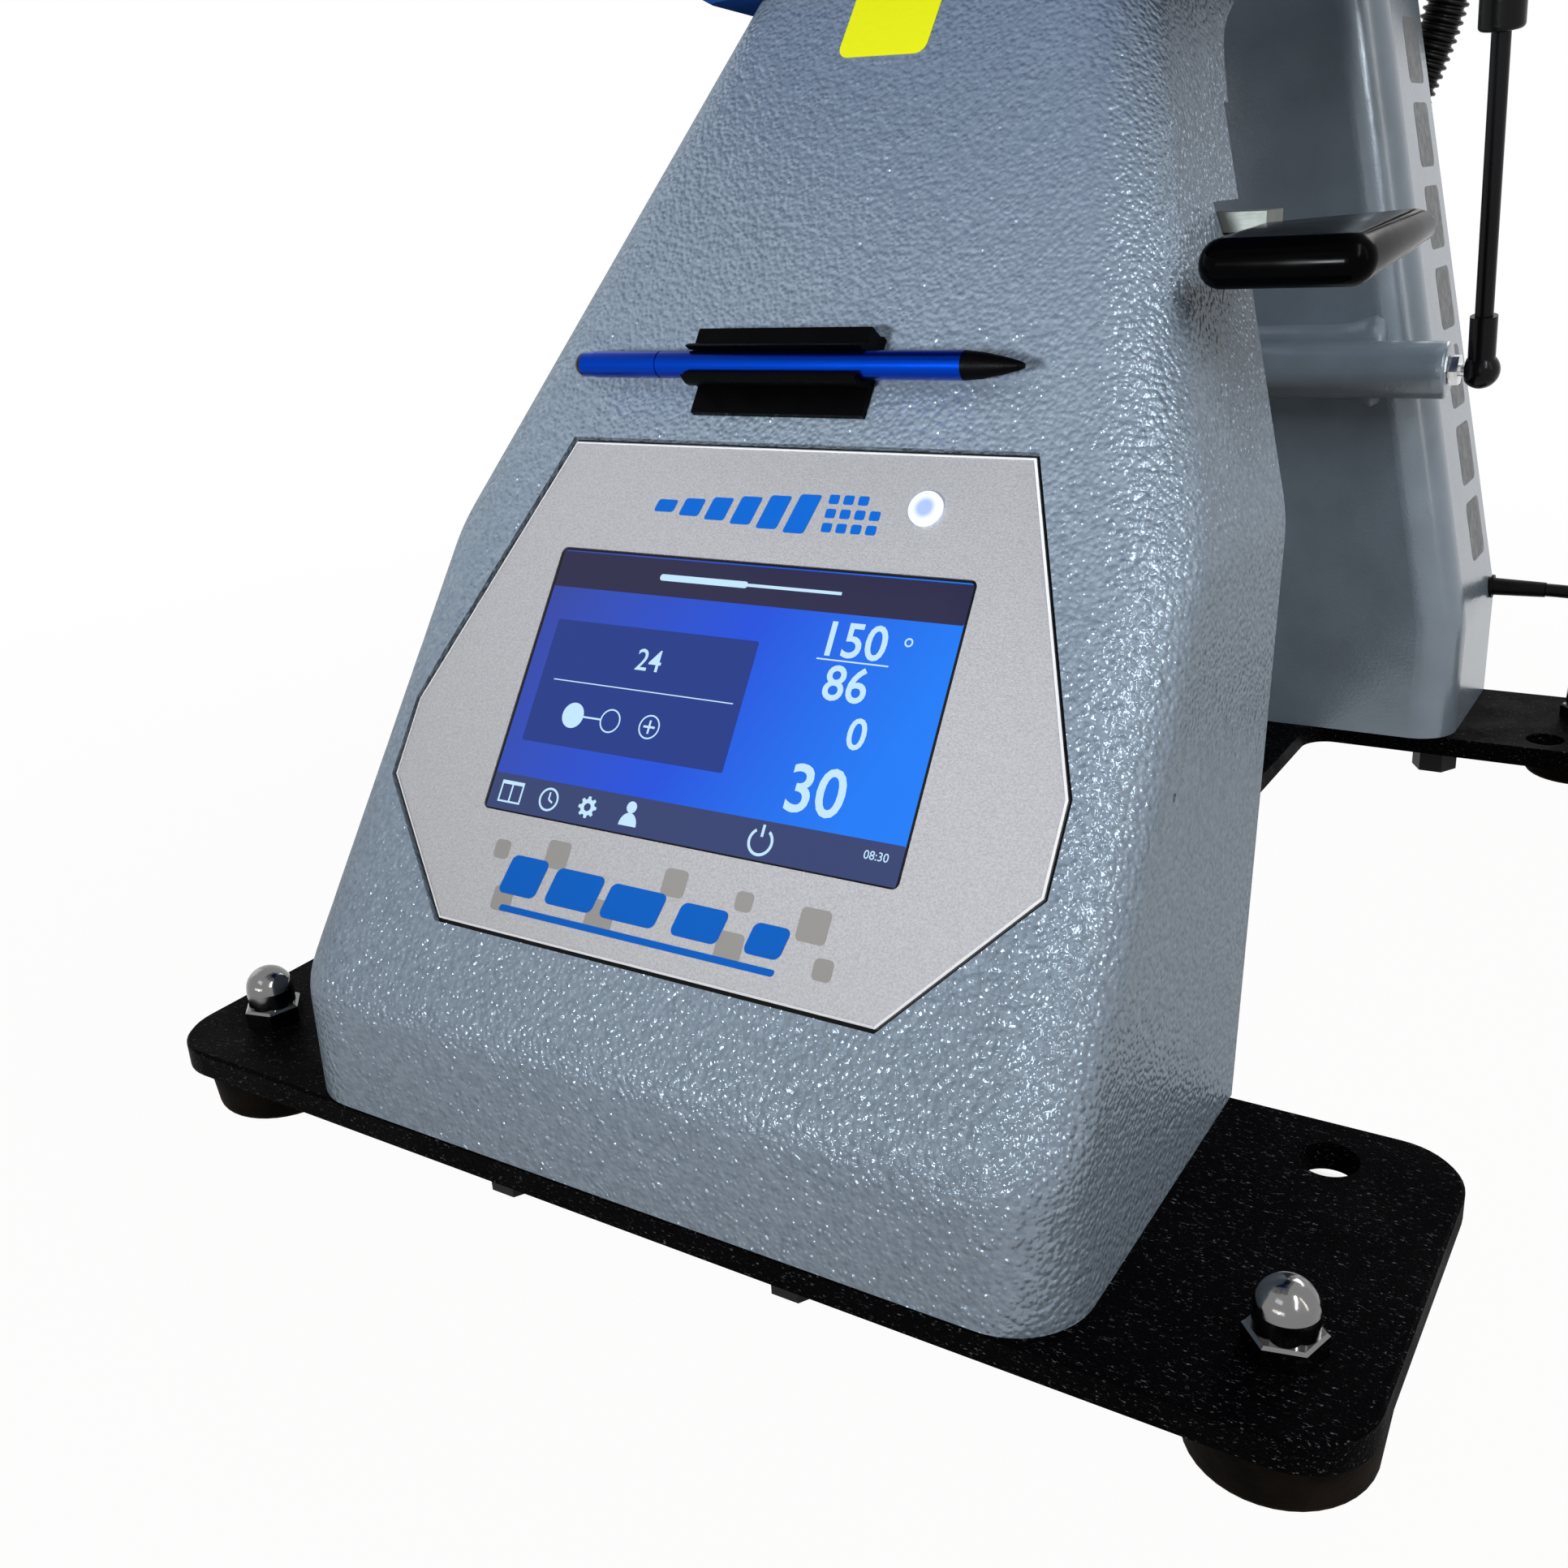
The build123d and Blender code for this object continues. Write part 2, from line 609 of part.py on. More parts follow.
with BuildPart() as rear_column:
    for h in rear_heights:
        with BuildSketch(level(h)):
            rear_outline(h, 0.0, 20.0, 5.0)
    loft(ruled=True)
    for h in [flange_t] + rear_heights[1:-1] + [rear_column_h - cap_t]:
        with BuildSketch(level(h)):
            rear_outline(h, wall, 17.0, 2.0)
    loft(ruled=True, mode=Mode.SUBTRACT)
    with BuildSketch(level(0)):
        with Locations((0, depth(557))):
            RectangleRounded(190, 62, 10)
        with Locations(*rear_bolt_spots):
            Circle(6.15)
    extrude(amount=flange_t, mode=Mode.SUBTRACT)
    for h in (24.0, rear_knee_h, rear_column_h - 30):
        with BuildSketch(level(h)):
            with Locations((0, depth(rear_back_y))):
                Rectangle(2 * rear_half(h) - 36, 16)
    loft(ruled=True, mode=Mode.SUBTRACT)
    with BuildSketch(across(130)):
        with Locations(yz(cord_y, cord_h)):
            Circle(5.2)
    extrude(amount=12, mode=Mode.SUBTRACT)
save(rear_column, "rear_column")

switch_x, switch_h = -62.0, 62.0
elbow_x, elbow_h = 20.0, 150.0
rear_cover_t = 2.0
with BuildPart() as rear_cover:
    for h in (14.0, rear_knee_h, rear_column_h - 18):
        with BuildSketch(level(h)):
            with Locations((0, depth(rear_back_y + rear_cover_t / 2))):
                Rectangle(2 * rear_half(h) - 16, rear_cover_t)
    loft(ruled=True)
    with BuildSketch(Plane.XZ.offset(-depth(rear_back_y + rear_cover_t))):
        with Locations((switch_x, deck + switch_h)):
            Rectangle(27.2, 21.2)
        with Locations((elbow_x, deck + elbow_h)):
            Circle(10.1)
        with Locations(*[(-30, deck + 100 + 9 * i) for i in range(7)]):
            SlotOverall(70, 3.2)
    extrude(amount=rear_cover_t, mode=Mode.SUBTRACT)
save(rear_cover, "rear_cover")

tube_r, tube_half = 13.25, 126.0
with BuildPart() as strut_cross_tube:
    with BuildSketch(across(-tube_half)):
        with Locations(yz(strut_y, strut_h)):
            Circle(tube_r)
    extrude(amount=2 * tube_half)
    with BuildSketch(across(-tube_half)):
        with Locations(yz(strut_y, strut_h)):
            Circle(5.05)
    extrude(amount=16, mode=Mode.SUBTRACT)
    with BuildSketch(across(tube_half)):
        with Locations(yz(strut_y, strut_h)):
            Circle(5.05)
    extrude(amount=-16, mode=Mode.SUBTRACT)
    with BuildSketch(across(-90)):
        Polygon(*[yz(y, h) for y, h in (
            (499, 199.9), (504, 201.5), (509, 205), (513, 210), (517.6, 219), (518, 219), (518, 164),
            (515.6, 164), (512.5, 168), (508, 171.5), (503, 173.3), (499, 174.1))], align=None)
    extrude(amount=180)
    add(rear_column.part, mode=Mode.SUBTRACT)
save(strut_cross_tube, "strut_cross_tube")

ball_r, stud_r = 5.0, 2.9


def bar(x0, x1, y, h, radius, sides=0):
    """Round or, with sides given, hexagonal bar along X between two stations."""
    with BuildSketch(across(min(x0, x1))) as section:
        with Locations(yz(y, h)):
            if sides:
                RegularPolygon(radius, sides, major_radius=False)
            else:
                Circle(radius)
    extrude(section.sketch, amount=abs(x1 - x0))


def ball_stud(y, h):
    """Right-hand ball stud with its hexagon, beside the end face of a cross tube."""
    bar(tube_half + 0.4, tube_half + 4.4, y, h, 6.5, sides=6)
    bar(tube_half + 0.4, strut_x - 1.5, y, h, stud_r)
    with Locations((strut_x, depth(y), deck + h)):
        Sphere(ball_r)


with BuildPart() as lower_ball_studs:
    ball_stud(strut_y, strut_h)
    bar(tube_half - 14, tube_half + 0.4, strut_y, strut_h, 5.0)
    mirror(about=Plane.YZ)
save(lower_ball_studs, "lower_ball_studs")

with BuildPart() as pivot_head:
    with BuildSketch(across(-40)):
        with Locations(yz(hinge_y, hinge_h)):
            Circle(38)
        Polygon(yz(528, rear_column_h), yz(600, rear_column_h), yz(598, hinge_h), yz(522, hinge_h), align=None)
    extrude(amount=80)
    with BuildSketch(across(-40)):
        with Locations(yz(hinge_y, hinge_h)):
            Circle(18.05)
    extrude(amount=80, mode=Mode.SUBTRACT)
save(pivot_head, "pivot_head")

shaft_r = 13.95
with BuildPart() as pivot_bushes:
    for side in (-1, 1):
        with BuildSketch(across(side * 16)):
            with Locations(yz(hinge_y, hinge_h)):
                Circle(18.0)
        extrude(amount=side * 24)
        with BuildSketch(across(side * 40)):
            with Locations(yz(hinge_y, hinge_h)):
                Circle(25.0)
        extrude(amount=side * 1.6)
    with BuildSketch(across(-50)):
        with Locations(yz(hinge_y, hinge_h)):
            Circle(14.0)
    extrude(amount=100, mode=Mode.SUBTRACT)
save(pivot_bushes, "pivot_bushes")

with BuildPart() as switch_bezel:
    with BuildSketch(Plane.XZ.offset(-depth(rear_back_y + rear_cover_t))):
        with Locations((switch_x, deck + switch_h)):
            RectangleRounded(32, 26, 3)
            Rectangle(22.4, 16.4, mode=Mode.SUBTRACT)
    extrude(amount=-2.5)
    with BuildSketch(Plane.XZ.offset(-depth(rear_back_y + rear_cover_t))):
        with Locations((switch_x, deck + switch_h)):
            Rectangle(27, 21)
            Rectangle(22.4, 16.4, mode=Mode.SUBTRACT)
    extrude(amount=18)
save(switch_bezel, "switch_bezel")

rocker_y = rear_back_y + rear_cover_t + 0.5
with BuildPart() as power_rocker:
    with BuildSketch(across(switch_x - 11)):
        with Locations(yz(rocker_y, switch_h)):
            Circle(7.9)
    extrude(amount=22)
    with BuildSketch(across(switch_x - 12)):
        with Locations(yz(rocker_y + 11.5, switch_h)):
            Circle(9.5)
    extrude(amount=24, mode=Mode.SUBTRACT)
save(power_rocker, "power_rocker")

# ================================================================ gas struts
lean = Vector(0, -sin(radians(strut_lean)), cos(radians(strut_lean)))


def strut_point(side, along):
    """A point of the strut's axis, measured from the centre of its lower ball."""
    return Vector(side * strut_x, depth(strut_y), deck + strut_h) + lean * along


def strut_plane(side, along):
    """Plane square to the strut's axis."""
    return Plane(origin=strut_point(side, along), x_dir=(1, 0, 0), z_dir=lean)


def end_fitting(side, along, up):
    """Moulded ball socket on the end of a strut; up is +1 below the rod and -1 above the cylinder."""
    ball = strut_point(side, along)
    with Locations(ball):
        Sphere(8.4)
    with BuildSketch(strut_plane(side, along)) as neck:
        Circle(6.0)
    extrude(neck.sketch, amount=up * 25)
    with Locations(ball):
        Sphere(ball_r + 0.35, mode=Mode.SUBTRACT)
    with BuildSketch(Plane(origin=ball, x_dir=(0, 1, 0), z_dir=(-side, 0, 0))) as mouth:
        Circle(ball_r + 0.35)
    extrude(mouth.sketch, amount=12, mode=Mode.SUBTRACT)


rod_r, cylinder_r, cylinder_start = 4.0, 9.4, 144.0
for side, hand in ((-1, "left"), (1, "right")):
    with BuildPart() as strut_rod:
        end_fitting(side, 0.0, 1)
        with BuildSketch(strut_plane(side, 24.0)):
            Circle(rod_r)
        extrude(amount=cylinder_start + 14 - 24.0)
    save(strut_rod, f"strut_rod_{hand}")

    with BuildPart() as strut_cylinder:
        with BuildSketch(strut_plane(side, cylinder_start)):
            Circle(cylinder_r)
        extrude(amount=strut_len - 25 - cylinder_start)
        fillet(strut_cylinder.edges().filter_by(GeomType.CIRCLE), 2.0)
        end_fitting(side, strut_len, -1)
        with BuildSketch(strut_plane(side, cylinder_start - 1)):
            Circle(rod_r + 0.06)
        extrude(amount=154, mode=Mode.SUBTRACT)
    save(strut_cylinder, f"strut_cylinder_{hand}")

# upper pivots, where the head is hung on the struts when open and closed
upper = Vector(0, strut_point(1, strut_len).Y - depth(hinge_y), strut_point(1, strut_len).Z - deck - hinge_h)
closed = upper.rotate(Axis.X, open_angle)
upper_y, upper_h = hinge_y + closed.Y, hinge_h + closed.Z

with BuildPart() as upper_ball_stud:
    ball_stud(upper_y, upper_h)
save(upper_ball_stud, "upper_ball_stud_right", head=True)
with BuildPart() as upper_ball_stud:
    ball_stud(upper_y, upper_h)
    mirror(about=Plane.YZ, mode=Mode.REPLACE)
save(upper_ball_stud, "upper_ball_stud_left", head=True)

# ================================================================ head
arm_half, arm_wall = 50.0, 8.0
spindle_y = platen_mid
arm_bottom = 494.0

with BuildPart() as arm:
    with BuildSketch(across(-arm_half)) as arm_side:
        with Locations(yz(hinge_y, hinge_h)):
            Circle(36)
        with Locations(yz(upper_y, upper_h)):
            Circle(17)
        Polygon(yz(hinge_y, hinge_h + 36), yz(470, 554), yz(300, 554), yz(150, 546), yz(118, 530),
                yz(118, arm_bottom), yz(438, arm_bottom), yz(upper_y - 17, arm_bottom - 14), yz(upper_y - 17, upper_h),
                yz(upper_y + 13, upper_h - 11), yz(hinge_y - 28, hinge_h - 24), align=None)
    extrude(amount=2 * arm_half)
    with BuildSketch(across(-arm_half + arm_wall)):
        Polygon(yz(680, 400), yz(680, 620), yz(506, 620), yz(506, 546), yz(302, 546), yz(154, 538),
                yz(126, 526), yz(126, 400), align=None)
    extrude(amount=2 * (arm_half - arm_wall), mode=Mode.SUBTRACT)
    with BuildSketch(level(510)):
        with Locations((0, depth(spindle_y))):
            Circle(24)
    extrude(amount=52)
    with BuildSketch(level(508)):
        with Locations((0, depth(spindle_y))):
            Circle(16.05)
    extrude(amount=60, mode=Mode.SUBTRACT)
    with BuildSketch(across(-arm_half)):
        with Locations(yz(hinge_y, hinge_h)):
            Circle(14.0)
        with Locations(yz(upper_y, upper_h)):
            Circle(tube_r + 0.05)
    extrude(amount=2 * arm_half, mode=Mode.SUBTRACT)
save(arm, "arm", head=True)

with BuildPart() as pivot_shaft:
    with BuildSketch(across(-58)):
        with Locations(yz(hinge_y, hinge_h)):
            Circle(shaft_r)
    extrude(amount=116)
    for side in (-1, 1):
        with BuildSketch(across(side * (arm_half + 0.2))):
            with Locations(yz(hinge_y, hinge_h)):
                Circle(21)
        extrude(amount=side * 8)
    chamfer(pivot_shaft.faces().sort_by(Axis.X)[0].edges(), 1.0)
    chamfer(pivot_shaft.faces().sort_by(Axis.X)[-1].edges(), 1.0)
save(pivot_shaft, "pivot_shaft", head=True)

with BuildPart() as arm_strut_tube:
    with BuildSketch(across(-tube_half)):
        with Locations(yz(upper_y, upper_h)):
            Circle(tube_r)
    extrude(amount=2 * tube_half)
save(arm_strut_tube, "arm_strut_tube", head=True)

with BuildPart() as spindle_nut:
    with BuildSketch(level(510)):
        with Locations((0, depth(spindle_y))):
            Circle(16.0)
    extrude(amount=52)
    with BuildSketch(level(562)):
        with Locations((0, depth(spindle_y))):
            Circle(20.0)
    extrude(amount=3)
    with BuildSketch(level(509)):
        with Locations((0, depth(spindle_y))):
            Circle(10.05)
    extrude(amount=60, mode=Mode.SUBTRACT)
save(spindle_nut, "spindle_nut", head=True)

with BuildPart() as pressure_spindle:
    with BuildSketch(level(cover_top + 4.5)):
        with Locations((0, depth(spindle_y))):
            Circle(10.0)
    extrude(amount=592 - cover_top - 4.5)
save(pressure_spindle, "pressure_spindle", head=True)

with BuildPart() as pressure_knob:
    with BuildSketch(level(568)):
        with Locations((0, depth(spindle_y))):
            Circle(18)
    extrude(amount=6)
    with BuildSketch(level(574)):
        with Locations((0, depth(spindle_y))):
            Circle(30)
            with PolarLocations(30, 7):
                Circle(8)
    extrude(amount=30)
    fillet(pressure_knob.faces().sort_by(Axis.Z)[-1].edges(), 5)
    with BuildSketch(level(567)):
        with Locations((0, depth(spindle_y))):
            Circle(10.05)
    extrude(amount=25.1, mode=Mode.SUBTRACT)
save(pressure_knob, "pressure_knob", head=True)

with BuildPart() as platen_hub:
    with BuildSketch(level(cover_top)):
        with Locations((0, depth(spindle_y))):
            Circle(38)
    extrude(amount=8)
    with BuildSketch(level(cover_top)):
        with Locations((0, depth(spindle_y))):
            Circle(20)
    extrude(amount=19)
    with BuildSketch(level(cover_top + 4.4)):
        with Locations((0, depth(spindle_y))):
            Circle(10.05)
    extrude(amount=20, mode=Mode.SUBTRACT)
    with Locations(*[(29 * cos(a), depth(spindle_y) + 29 * sin(a), deck + cover_top + 8)
                     for a in (pi / 4, 3 * pi / 4, 5 * pi / 4, 7 * pi / 4)]):
        Cylinder(4.5, 5, align=(Align.CENTER, Align.CENTER, Align.MIN))
save(platen_hub, "platen_hub", head=True)

with BuildPart() as heat_platen:
    with BuildSketch(level(press_h)):
        with Locations((0, depth(platen_mid))):
            RectangleRounded(platen_w, platen_d, 25)
    extrude(amount=20)
    fillet(heat_platen.faces().sort_by(Axis.Z)[0].edges(), 2)
save(heat_platen, "heat_platen", head=True)

with BuildPart() as platen_cover:
    with BuildSketch(level(press_h + 7)):
        with Locations((0, depth(platen_mid))):
            RectangleRounded(platen_w + 6, platen_d + 6, 28)
    extrude(amount=cover_top - press_h - 7)
    fillet(platen_cover.faces().sort_by(Axis.Z)[-1].edges(), 9)
    with BuildSketch(level(press_h + 7)):
        with Locations((0, depth(platen_mid))):
            RectangleRounded(platen_w + 1.6, platen_d + 1.6, 25.8)
    extrude(amount=13, mode=Mode.SUBTRACT)
    with BuildSketch(level(press_h + 20)):
        with Locations((0, depth(platen_mid))):
            RectangleRounded(platen_w - 8, platen_d - 8, 21)
        with Locations((0, depth(spindle_y))):
            Circle(42, mode=Mode.SUBTRACT)
    extrude(amount=cover_top - 2.5 - press_h - 20, mode=Mode.SUBTRACT)
save(platen_cover, "platen_cover", head=True)

handle_r = 11.0
with BuildPart() as lift_handle:
    with BuildLine() as bar:
        right = [(61, depth(330), deck + 524), (61, depth(200), deck + 524),
                 (118, depth(20), deck + 524), (118, depth(-110), deck + 506)]
        left = [(-x, y, z) for x, y, z in reversed(right)]
        FilletPolyline(*right, *left, radius=36)
    with BuildSketch(Plane(origin=right[0], z_dir=(0, -1, 0))):
        Circle(handle_r)
    sweep()
    for side in (-1, 1):
        with BuildSketch(across(side * arm_half)):
            with Locations(yz(300, 524), yz(225, 524)):
                Rectangle(34, 15)
        extrude(amount=side * 8)
save(lift_handle, "lift_handle", head=True)

with BuildPart() as handle_grip:
    with BuildSketch(across(-66)):
        with Locations(yz(-110, 506)):
            Circle(15)
    extrude(amount=132)
    fillet(handle_grip.edges().filter_by(GeomType.CIRCLE), 3)
    with BuildSketch(across(-66)):
        with Locations(yz(-110, 506)):
            Circle(handle_r + 0.02)
    extrude(amount=132, mode=Mode.SUBTRACT)
save(handle_grip, "handle_grip", head=True)

# ================================================================ conduit
conduit_r = 11.0
elbow_out, elbow_run = 24.0, 22.0    # elbow gland: seat to bend, bend to the conduit's end
arm_elbow = (532.0, 524.0)           # the arm's gland, head closed


def elbow_gland(seat, out, along):
    """Right-angled gland: a hexagon on the seat, a bend, and a collar that takes the conduit."""
    bend_at = seat + out * elbow_out
    for start, way, section_r, sides, amount in ((seat, out, 14.0, 6, 6.0), (seat, out, 11.5, 0, elbow_out),
                                                 (bend_at, along, 11.5, 0, elbow_run),
                                                 (bend_at + along * 8, along, 14.0, 6, 5.0),
                                                 (bend_at + along * 13, along, 13.0, 0, elbow_run - 13)):
        with BuildSketch(Plane(origin=start, z_dir=way)) as section:
            if sides:
                RegularPolygon(section_r, sides, major_radius=False)
            else:
                Circle(section_r)
        extrude(section.sketch, amount=amount)
    with Locations(bend_at):
        Sphere(11.5)


x_out, y_out, z_out = Vector(1, 0, 0), Vector(0, 1, 0), Vector(0, 0, 1)
with BuildPart() as conduit_gland_lower:
    elbow_gland(Vector(elbow_x, depth(rear_back_y + rear_cover_t), deck + elbow_h), y_out, z_out)
    with BuildSketch(Plane.XZ.offset(-depth(rear_back_y + rear_cover_t))):
        with Locations((elbow_x, deck + elbow_h)):
            Circle(10)
    extrude(amount=8)
save(conduit_gland_lower, "conduit_gland_lower")

with BuildPart() as conduit_gland_upper:
    elbow_gland(Vector(arm_half, depth(arm_elbow[0]), deck + arm_elbow[1]), x_out, y_out)
save(conduit_gland_upper, "conduit_gland_upper", head=True)


def route(points):
    """Radii that make each corner of a cord's route as round as its two runs allow."""
    radii = []
    for a, b, c in zip(points, points[1:], points[2:]):
        first, second = Vector(*b) - Vector(*a), Vector(*c) - Vector(*b)
        turn = radians(first.get_angle(second))
        radii.append(0.45 * min(first.length, second.length) / tan(turn / 2))
    return radii


def tube(points, radius):
    """A cord's solid: a round section along straight runs joined by tangent arcs."""
    with BuildLine() as path:
        FilletPolyline(*points, radius=route(points))
    start = Vector(*points[1]) - Vector(*points[0])
    with BuildSketch(Plane(origin=points[0], z_dir=start)) as section:
        Circle(radius)
    sweep(section.sketch, path=path.wire())
    return path.wire().length


def turned(y, h):
    """Depth and height, head open, of a point given with the head closed."""
    point = Vector(0, y - hinge_y, h - hinge_h).rotate(Axis.X, -open_angle)
    return hinge_y + point.Y, hinge_h + point.Z


conduit_points = [(x, depth(y), deck + h) for x, y, h in (
    (elbow_x, rear_back_y + rear_cover_t + elbow_out, elbow_h + elbow_run),
    (elbow_x, rear_back_y + rear_cover_t + elbow_out, elbow_h + 48), (59, 637, 282), (86.5, 640, 356),
    (93, 637, 425), (86, 622, 478), (arm_half + elbow_out, *turned(arm_elbow[0] + 60, arm_elbow[1])),
    (arm_half + elbow_out, *turned(arm_elbow[0] + elbow_run, arm_elbow[1])))]
with BuildPart() as conduit:
    conduit_len = tube(conduit_points, conduit_r)
save(conduit, "conduit")
print("conduit radii", [round(r, 1) for r in route(conduit_points)], "length", round(conduit_len, 1),
      "volume ratio", round(conduit.part.volume / (pi * conduit_r ** 2 * conduit_len), 4))

# ================================================================ mains cord
cord_r = 3.5
side_x, relief_len = 138.0, 27.0       # side of the column, and the moulded strain relief
floor_h = cord_r - deck

with BuildPart() as mains_gland:
    with BuildSketch(across(side_x + relief_len - 0.15)):
        with Locations(yz(cord_y, cord_h)):
            Circle(cord_r + 0.4)
    extrude(amount=0.15 - relief_len, taper=-1.6)
    with BuildSketch(across(side_x)):
        with Locations(yz(cord_y, cord_h)):
            Circle(6.2)
    extrude(amount=1.2)
    with BuildSketch(across(side_x - 8)):
        with Locations(yz(cord_y, cord_h)):
            Circle(5.1)
    extrude(amount=8)
    add(rear_column.part, mode=Mode.SUBTRACT)
save(mains_gland, "mains_gland")

coil_x, coil_y, coil_mean = 340.0, 654.0, 39.0
coil_out, coil_in = coil_mean + 2 * cord_r, coil_mean - 2 * cord_r
cord_points = [(x, depth(y), deck + h) for x, y, h in (
    (side_x + relief_len, cord_y, cord_h), (187, 598.5, 60.5), (210, 602, 54), (230, 606, 36), (244, 609, 10),
    (257, 611.5, -12), (280, 614.5, floor_h), (308, 615, floor_h), (338, 615.5, floor_h))]
with BuildPart() as mains_cord:
    cord_len = tube(cord_points, cord_r)
save(mains_cord, "mains_cord")
print("cord radii", [round(r, 1) for r in route(cord_points)], "length", round(cord_len, 1),
      "volume ratio", round(mains_cord.part.volume / (pi * cord_r ** 2 * cord_len), 4))

with BuildPart() as cord_coil:
    with BuildSketch(Plane.XY):
        with Locations((coil_x, depth(coil_y))):
            Circle(coil_out)
            Circle(coil_in, mode=Mode.SUBTRACT)
    extrude(amount=6 * cord_r)
save(cord_coil, "cord_coil")

plug_z = 6 * cord_r
with BuildPart() as mains_plug:
    with BuildSketch(Plane.XY.offset(plug_z)) as plug_outline:
        with Locations((coil_x + 6, depth(coil_y))):
            RectangleRounded(36, 28, 6)
    extrude(amount=20)
    fillet(mains_plug.faces().sort_by(Axis.Z)[-1].edges(), 4)
    with BuildSketch(Plane.YZ.offset(coil_x - 12)):
        with Locations((depth(coil_y), plug_z + 8)):
            Circle(6.5)
    with BuildSketch(Plane.YZ.offset(coil_x - 36)):
        with Locations((depth(coil_y), plug_z + 8)):
            Circle(4.4)
    loft()
    with BuildSketch(Plane.YZ.offset(coil_x + 24)):
        with Locations((depth(coil_y) - 6.4, plug_z + 11), (depth(coil_y) + 6.4, plug_z + 11)):
            Rectangle(1.6, 6.4)
    extrude(amount=17)
    with BuildSketch(Plane.YZ.offset(coil_x + 24)):
        with Locations((depth(coil_y), plug_z + 5)):
            Circle(2.3)
    extrude(amount=19)
save(mains_plug, "mains_plug")
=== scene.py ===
import bpy
import numpy as np
from mathutils import Matrix, Quaternion, Vector


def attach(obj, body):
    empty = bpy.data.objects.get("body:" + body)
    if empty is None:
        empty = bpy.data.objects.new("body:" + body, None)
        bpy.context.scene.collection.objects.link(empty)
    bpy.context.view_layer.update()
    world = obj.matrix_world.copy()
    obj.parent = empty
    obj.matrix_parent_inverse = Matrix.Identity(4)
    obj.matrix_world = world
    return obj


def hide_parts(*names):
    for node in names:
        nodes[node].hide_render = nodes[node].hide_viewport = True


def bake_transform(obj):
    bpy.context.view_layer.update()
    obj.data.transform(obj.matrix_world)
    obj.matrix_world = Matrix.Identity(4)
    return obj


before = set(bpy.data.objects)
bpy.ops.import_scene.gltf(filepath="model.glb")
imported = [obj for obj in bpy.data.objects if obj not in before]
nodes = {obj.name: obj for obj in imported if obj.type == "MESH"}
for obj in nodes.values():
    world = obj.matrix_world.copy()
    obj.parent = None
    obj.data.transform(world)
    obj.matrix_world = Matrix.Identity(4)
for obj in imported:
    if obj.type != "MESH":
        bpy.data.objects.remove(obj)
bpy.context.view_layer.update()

# ------------------------------------------------------------------ viewpoint
# The machine is seen from its front right, a little above the control panel, from about half a metre away.
# The horizon leans by three and a half degrees.
camera_data = bpy.data.cameras.new("camera")
camera_data.sensor_width = 36.0
camera_data.lens = 35.94
camera_data.shift_y = -0.0063
camera_data.clip_start = 0.02
camera = bpy.data.objects.new("camera", camera_data)
bpy.context.scene.collection.objects.link(camera)
to_right = Vector((0.84152, 0.53673, -0.06135))
to_back = Vector((0.5220, -0.77862, 0.34823))
camera.matrix_world = Matrix((to_right, to_back.cross(to_right), to_back)).transposed().to_4x4()
camera.location = (0.2722, -0.5754, 0.3141)
bpy.context.scene.camera = camera
bpy.context.scene.view_settings.view_transform = "Standard"

# ------------------------------------------------------------------ studio
# A pale seamless floor, six soft boxes and a spot: a low and a high box in front, a narrow strip and a tall
# box on the right, one box on the left and one behind. Camera and mirror rays see the floor and the room as
# near white, and the floor still takes shadows.


def node_tree(owner):
    """The owner's node tree, emptied."""
    owner.use_nodes = True
    owner.node_tree.nodes.clear()
    return owner.node_tree.nodes, owner.node_tree.links


def arithmetic(tree_nodes, links, operation, first, second=0.0):
    """One step of arithmetic in a material: first and second are each a socket or a number."""
    step = tree_nodes.new("ShaderNodeMath")
    step.operation = operation
    for value, socket in zip((first, second), step.inputs):
        if isinstance(value, float):
            socket.default_value = value
        else:
            links.new(value, socket)
    return step.outputs[0]


def seen_ray(tree_nodes, links):
    """1 for camera, mirror and glass rays and 0 for the rest: the largest of the three ray flags."""
    flags = tree_nodes.new("ShaderNodeLightPath").outputs
    either = arithmetic(tree_nodes, links, "MAXIMUM", flags["Is Camera Ray"], flags["Is Glossy Ray"])
    return arithmetic(tree_nodes, links, "MAXIMUM", either, flags["Is Transmission Ray"])


room = bpy.data.worlds.new("room")
bpy.context.scene.world = room
room_nodes, room_links = node_tree(room)
ambient = room_nodes.new("ShaderNodeBackground")
ambient.inputs["Color"].default_value = (1.0, 0.98, 0.95, 1)
ambient.inputs["Strength"].default_value = 0.16
backdrop = room_nodes.new("ShaderNodeBackground")
backdrop.inputs["Color"].default_value = (1, 1, 1, 1)
room_mix = room_nodes.new("ShaderNodeMixShader")
room_out = room_nodes.new("ShaderNodeOutputWorld")
room_links.new(seen_ray(room_nodes, room_links), room_mix.inputs[0])
room_links.new(ambient.outputs[0], room_mix.inputs[1])
room_links.new(backdrop.outputs[0], room_mix.inputs[2])
room_links.new(room_mix.outputs[0], room_out.inputs["Surface"])

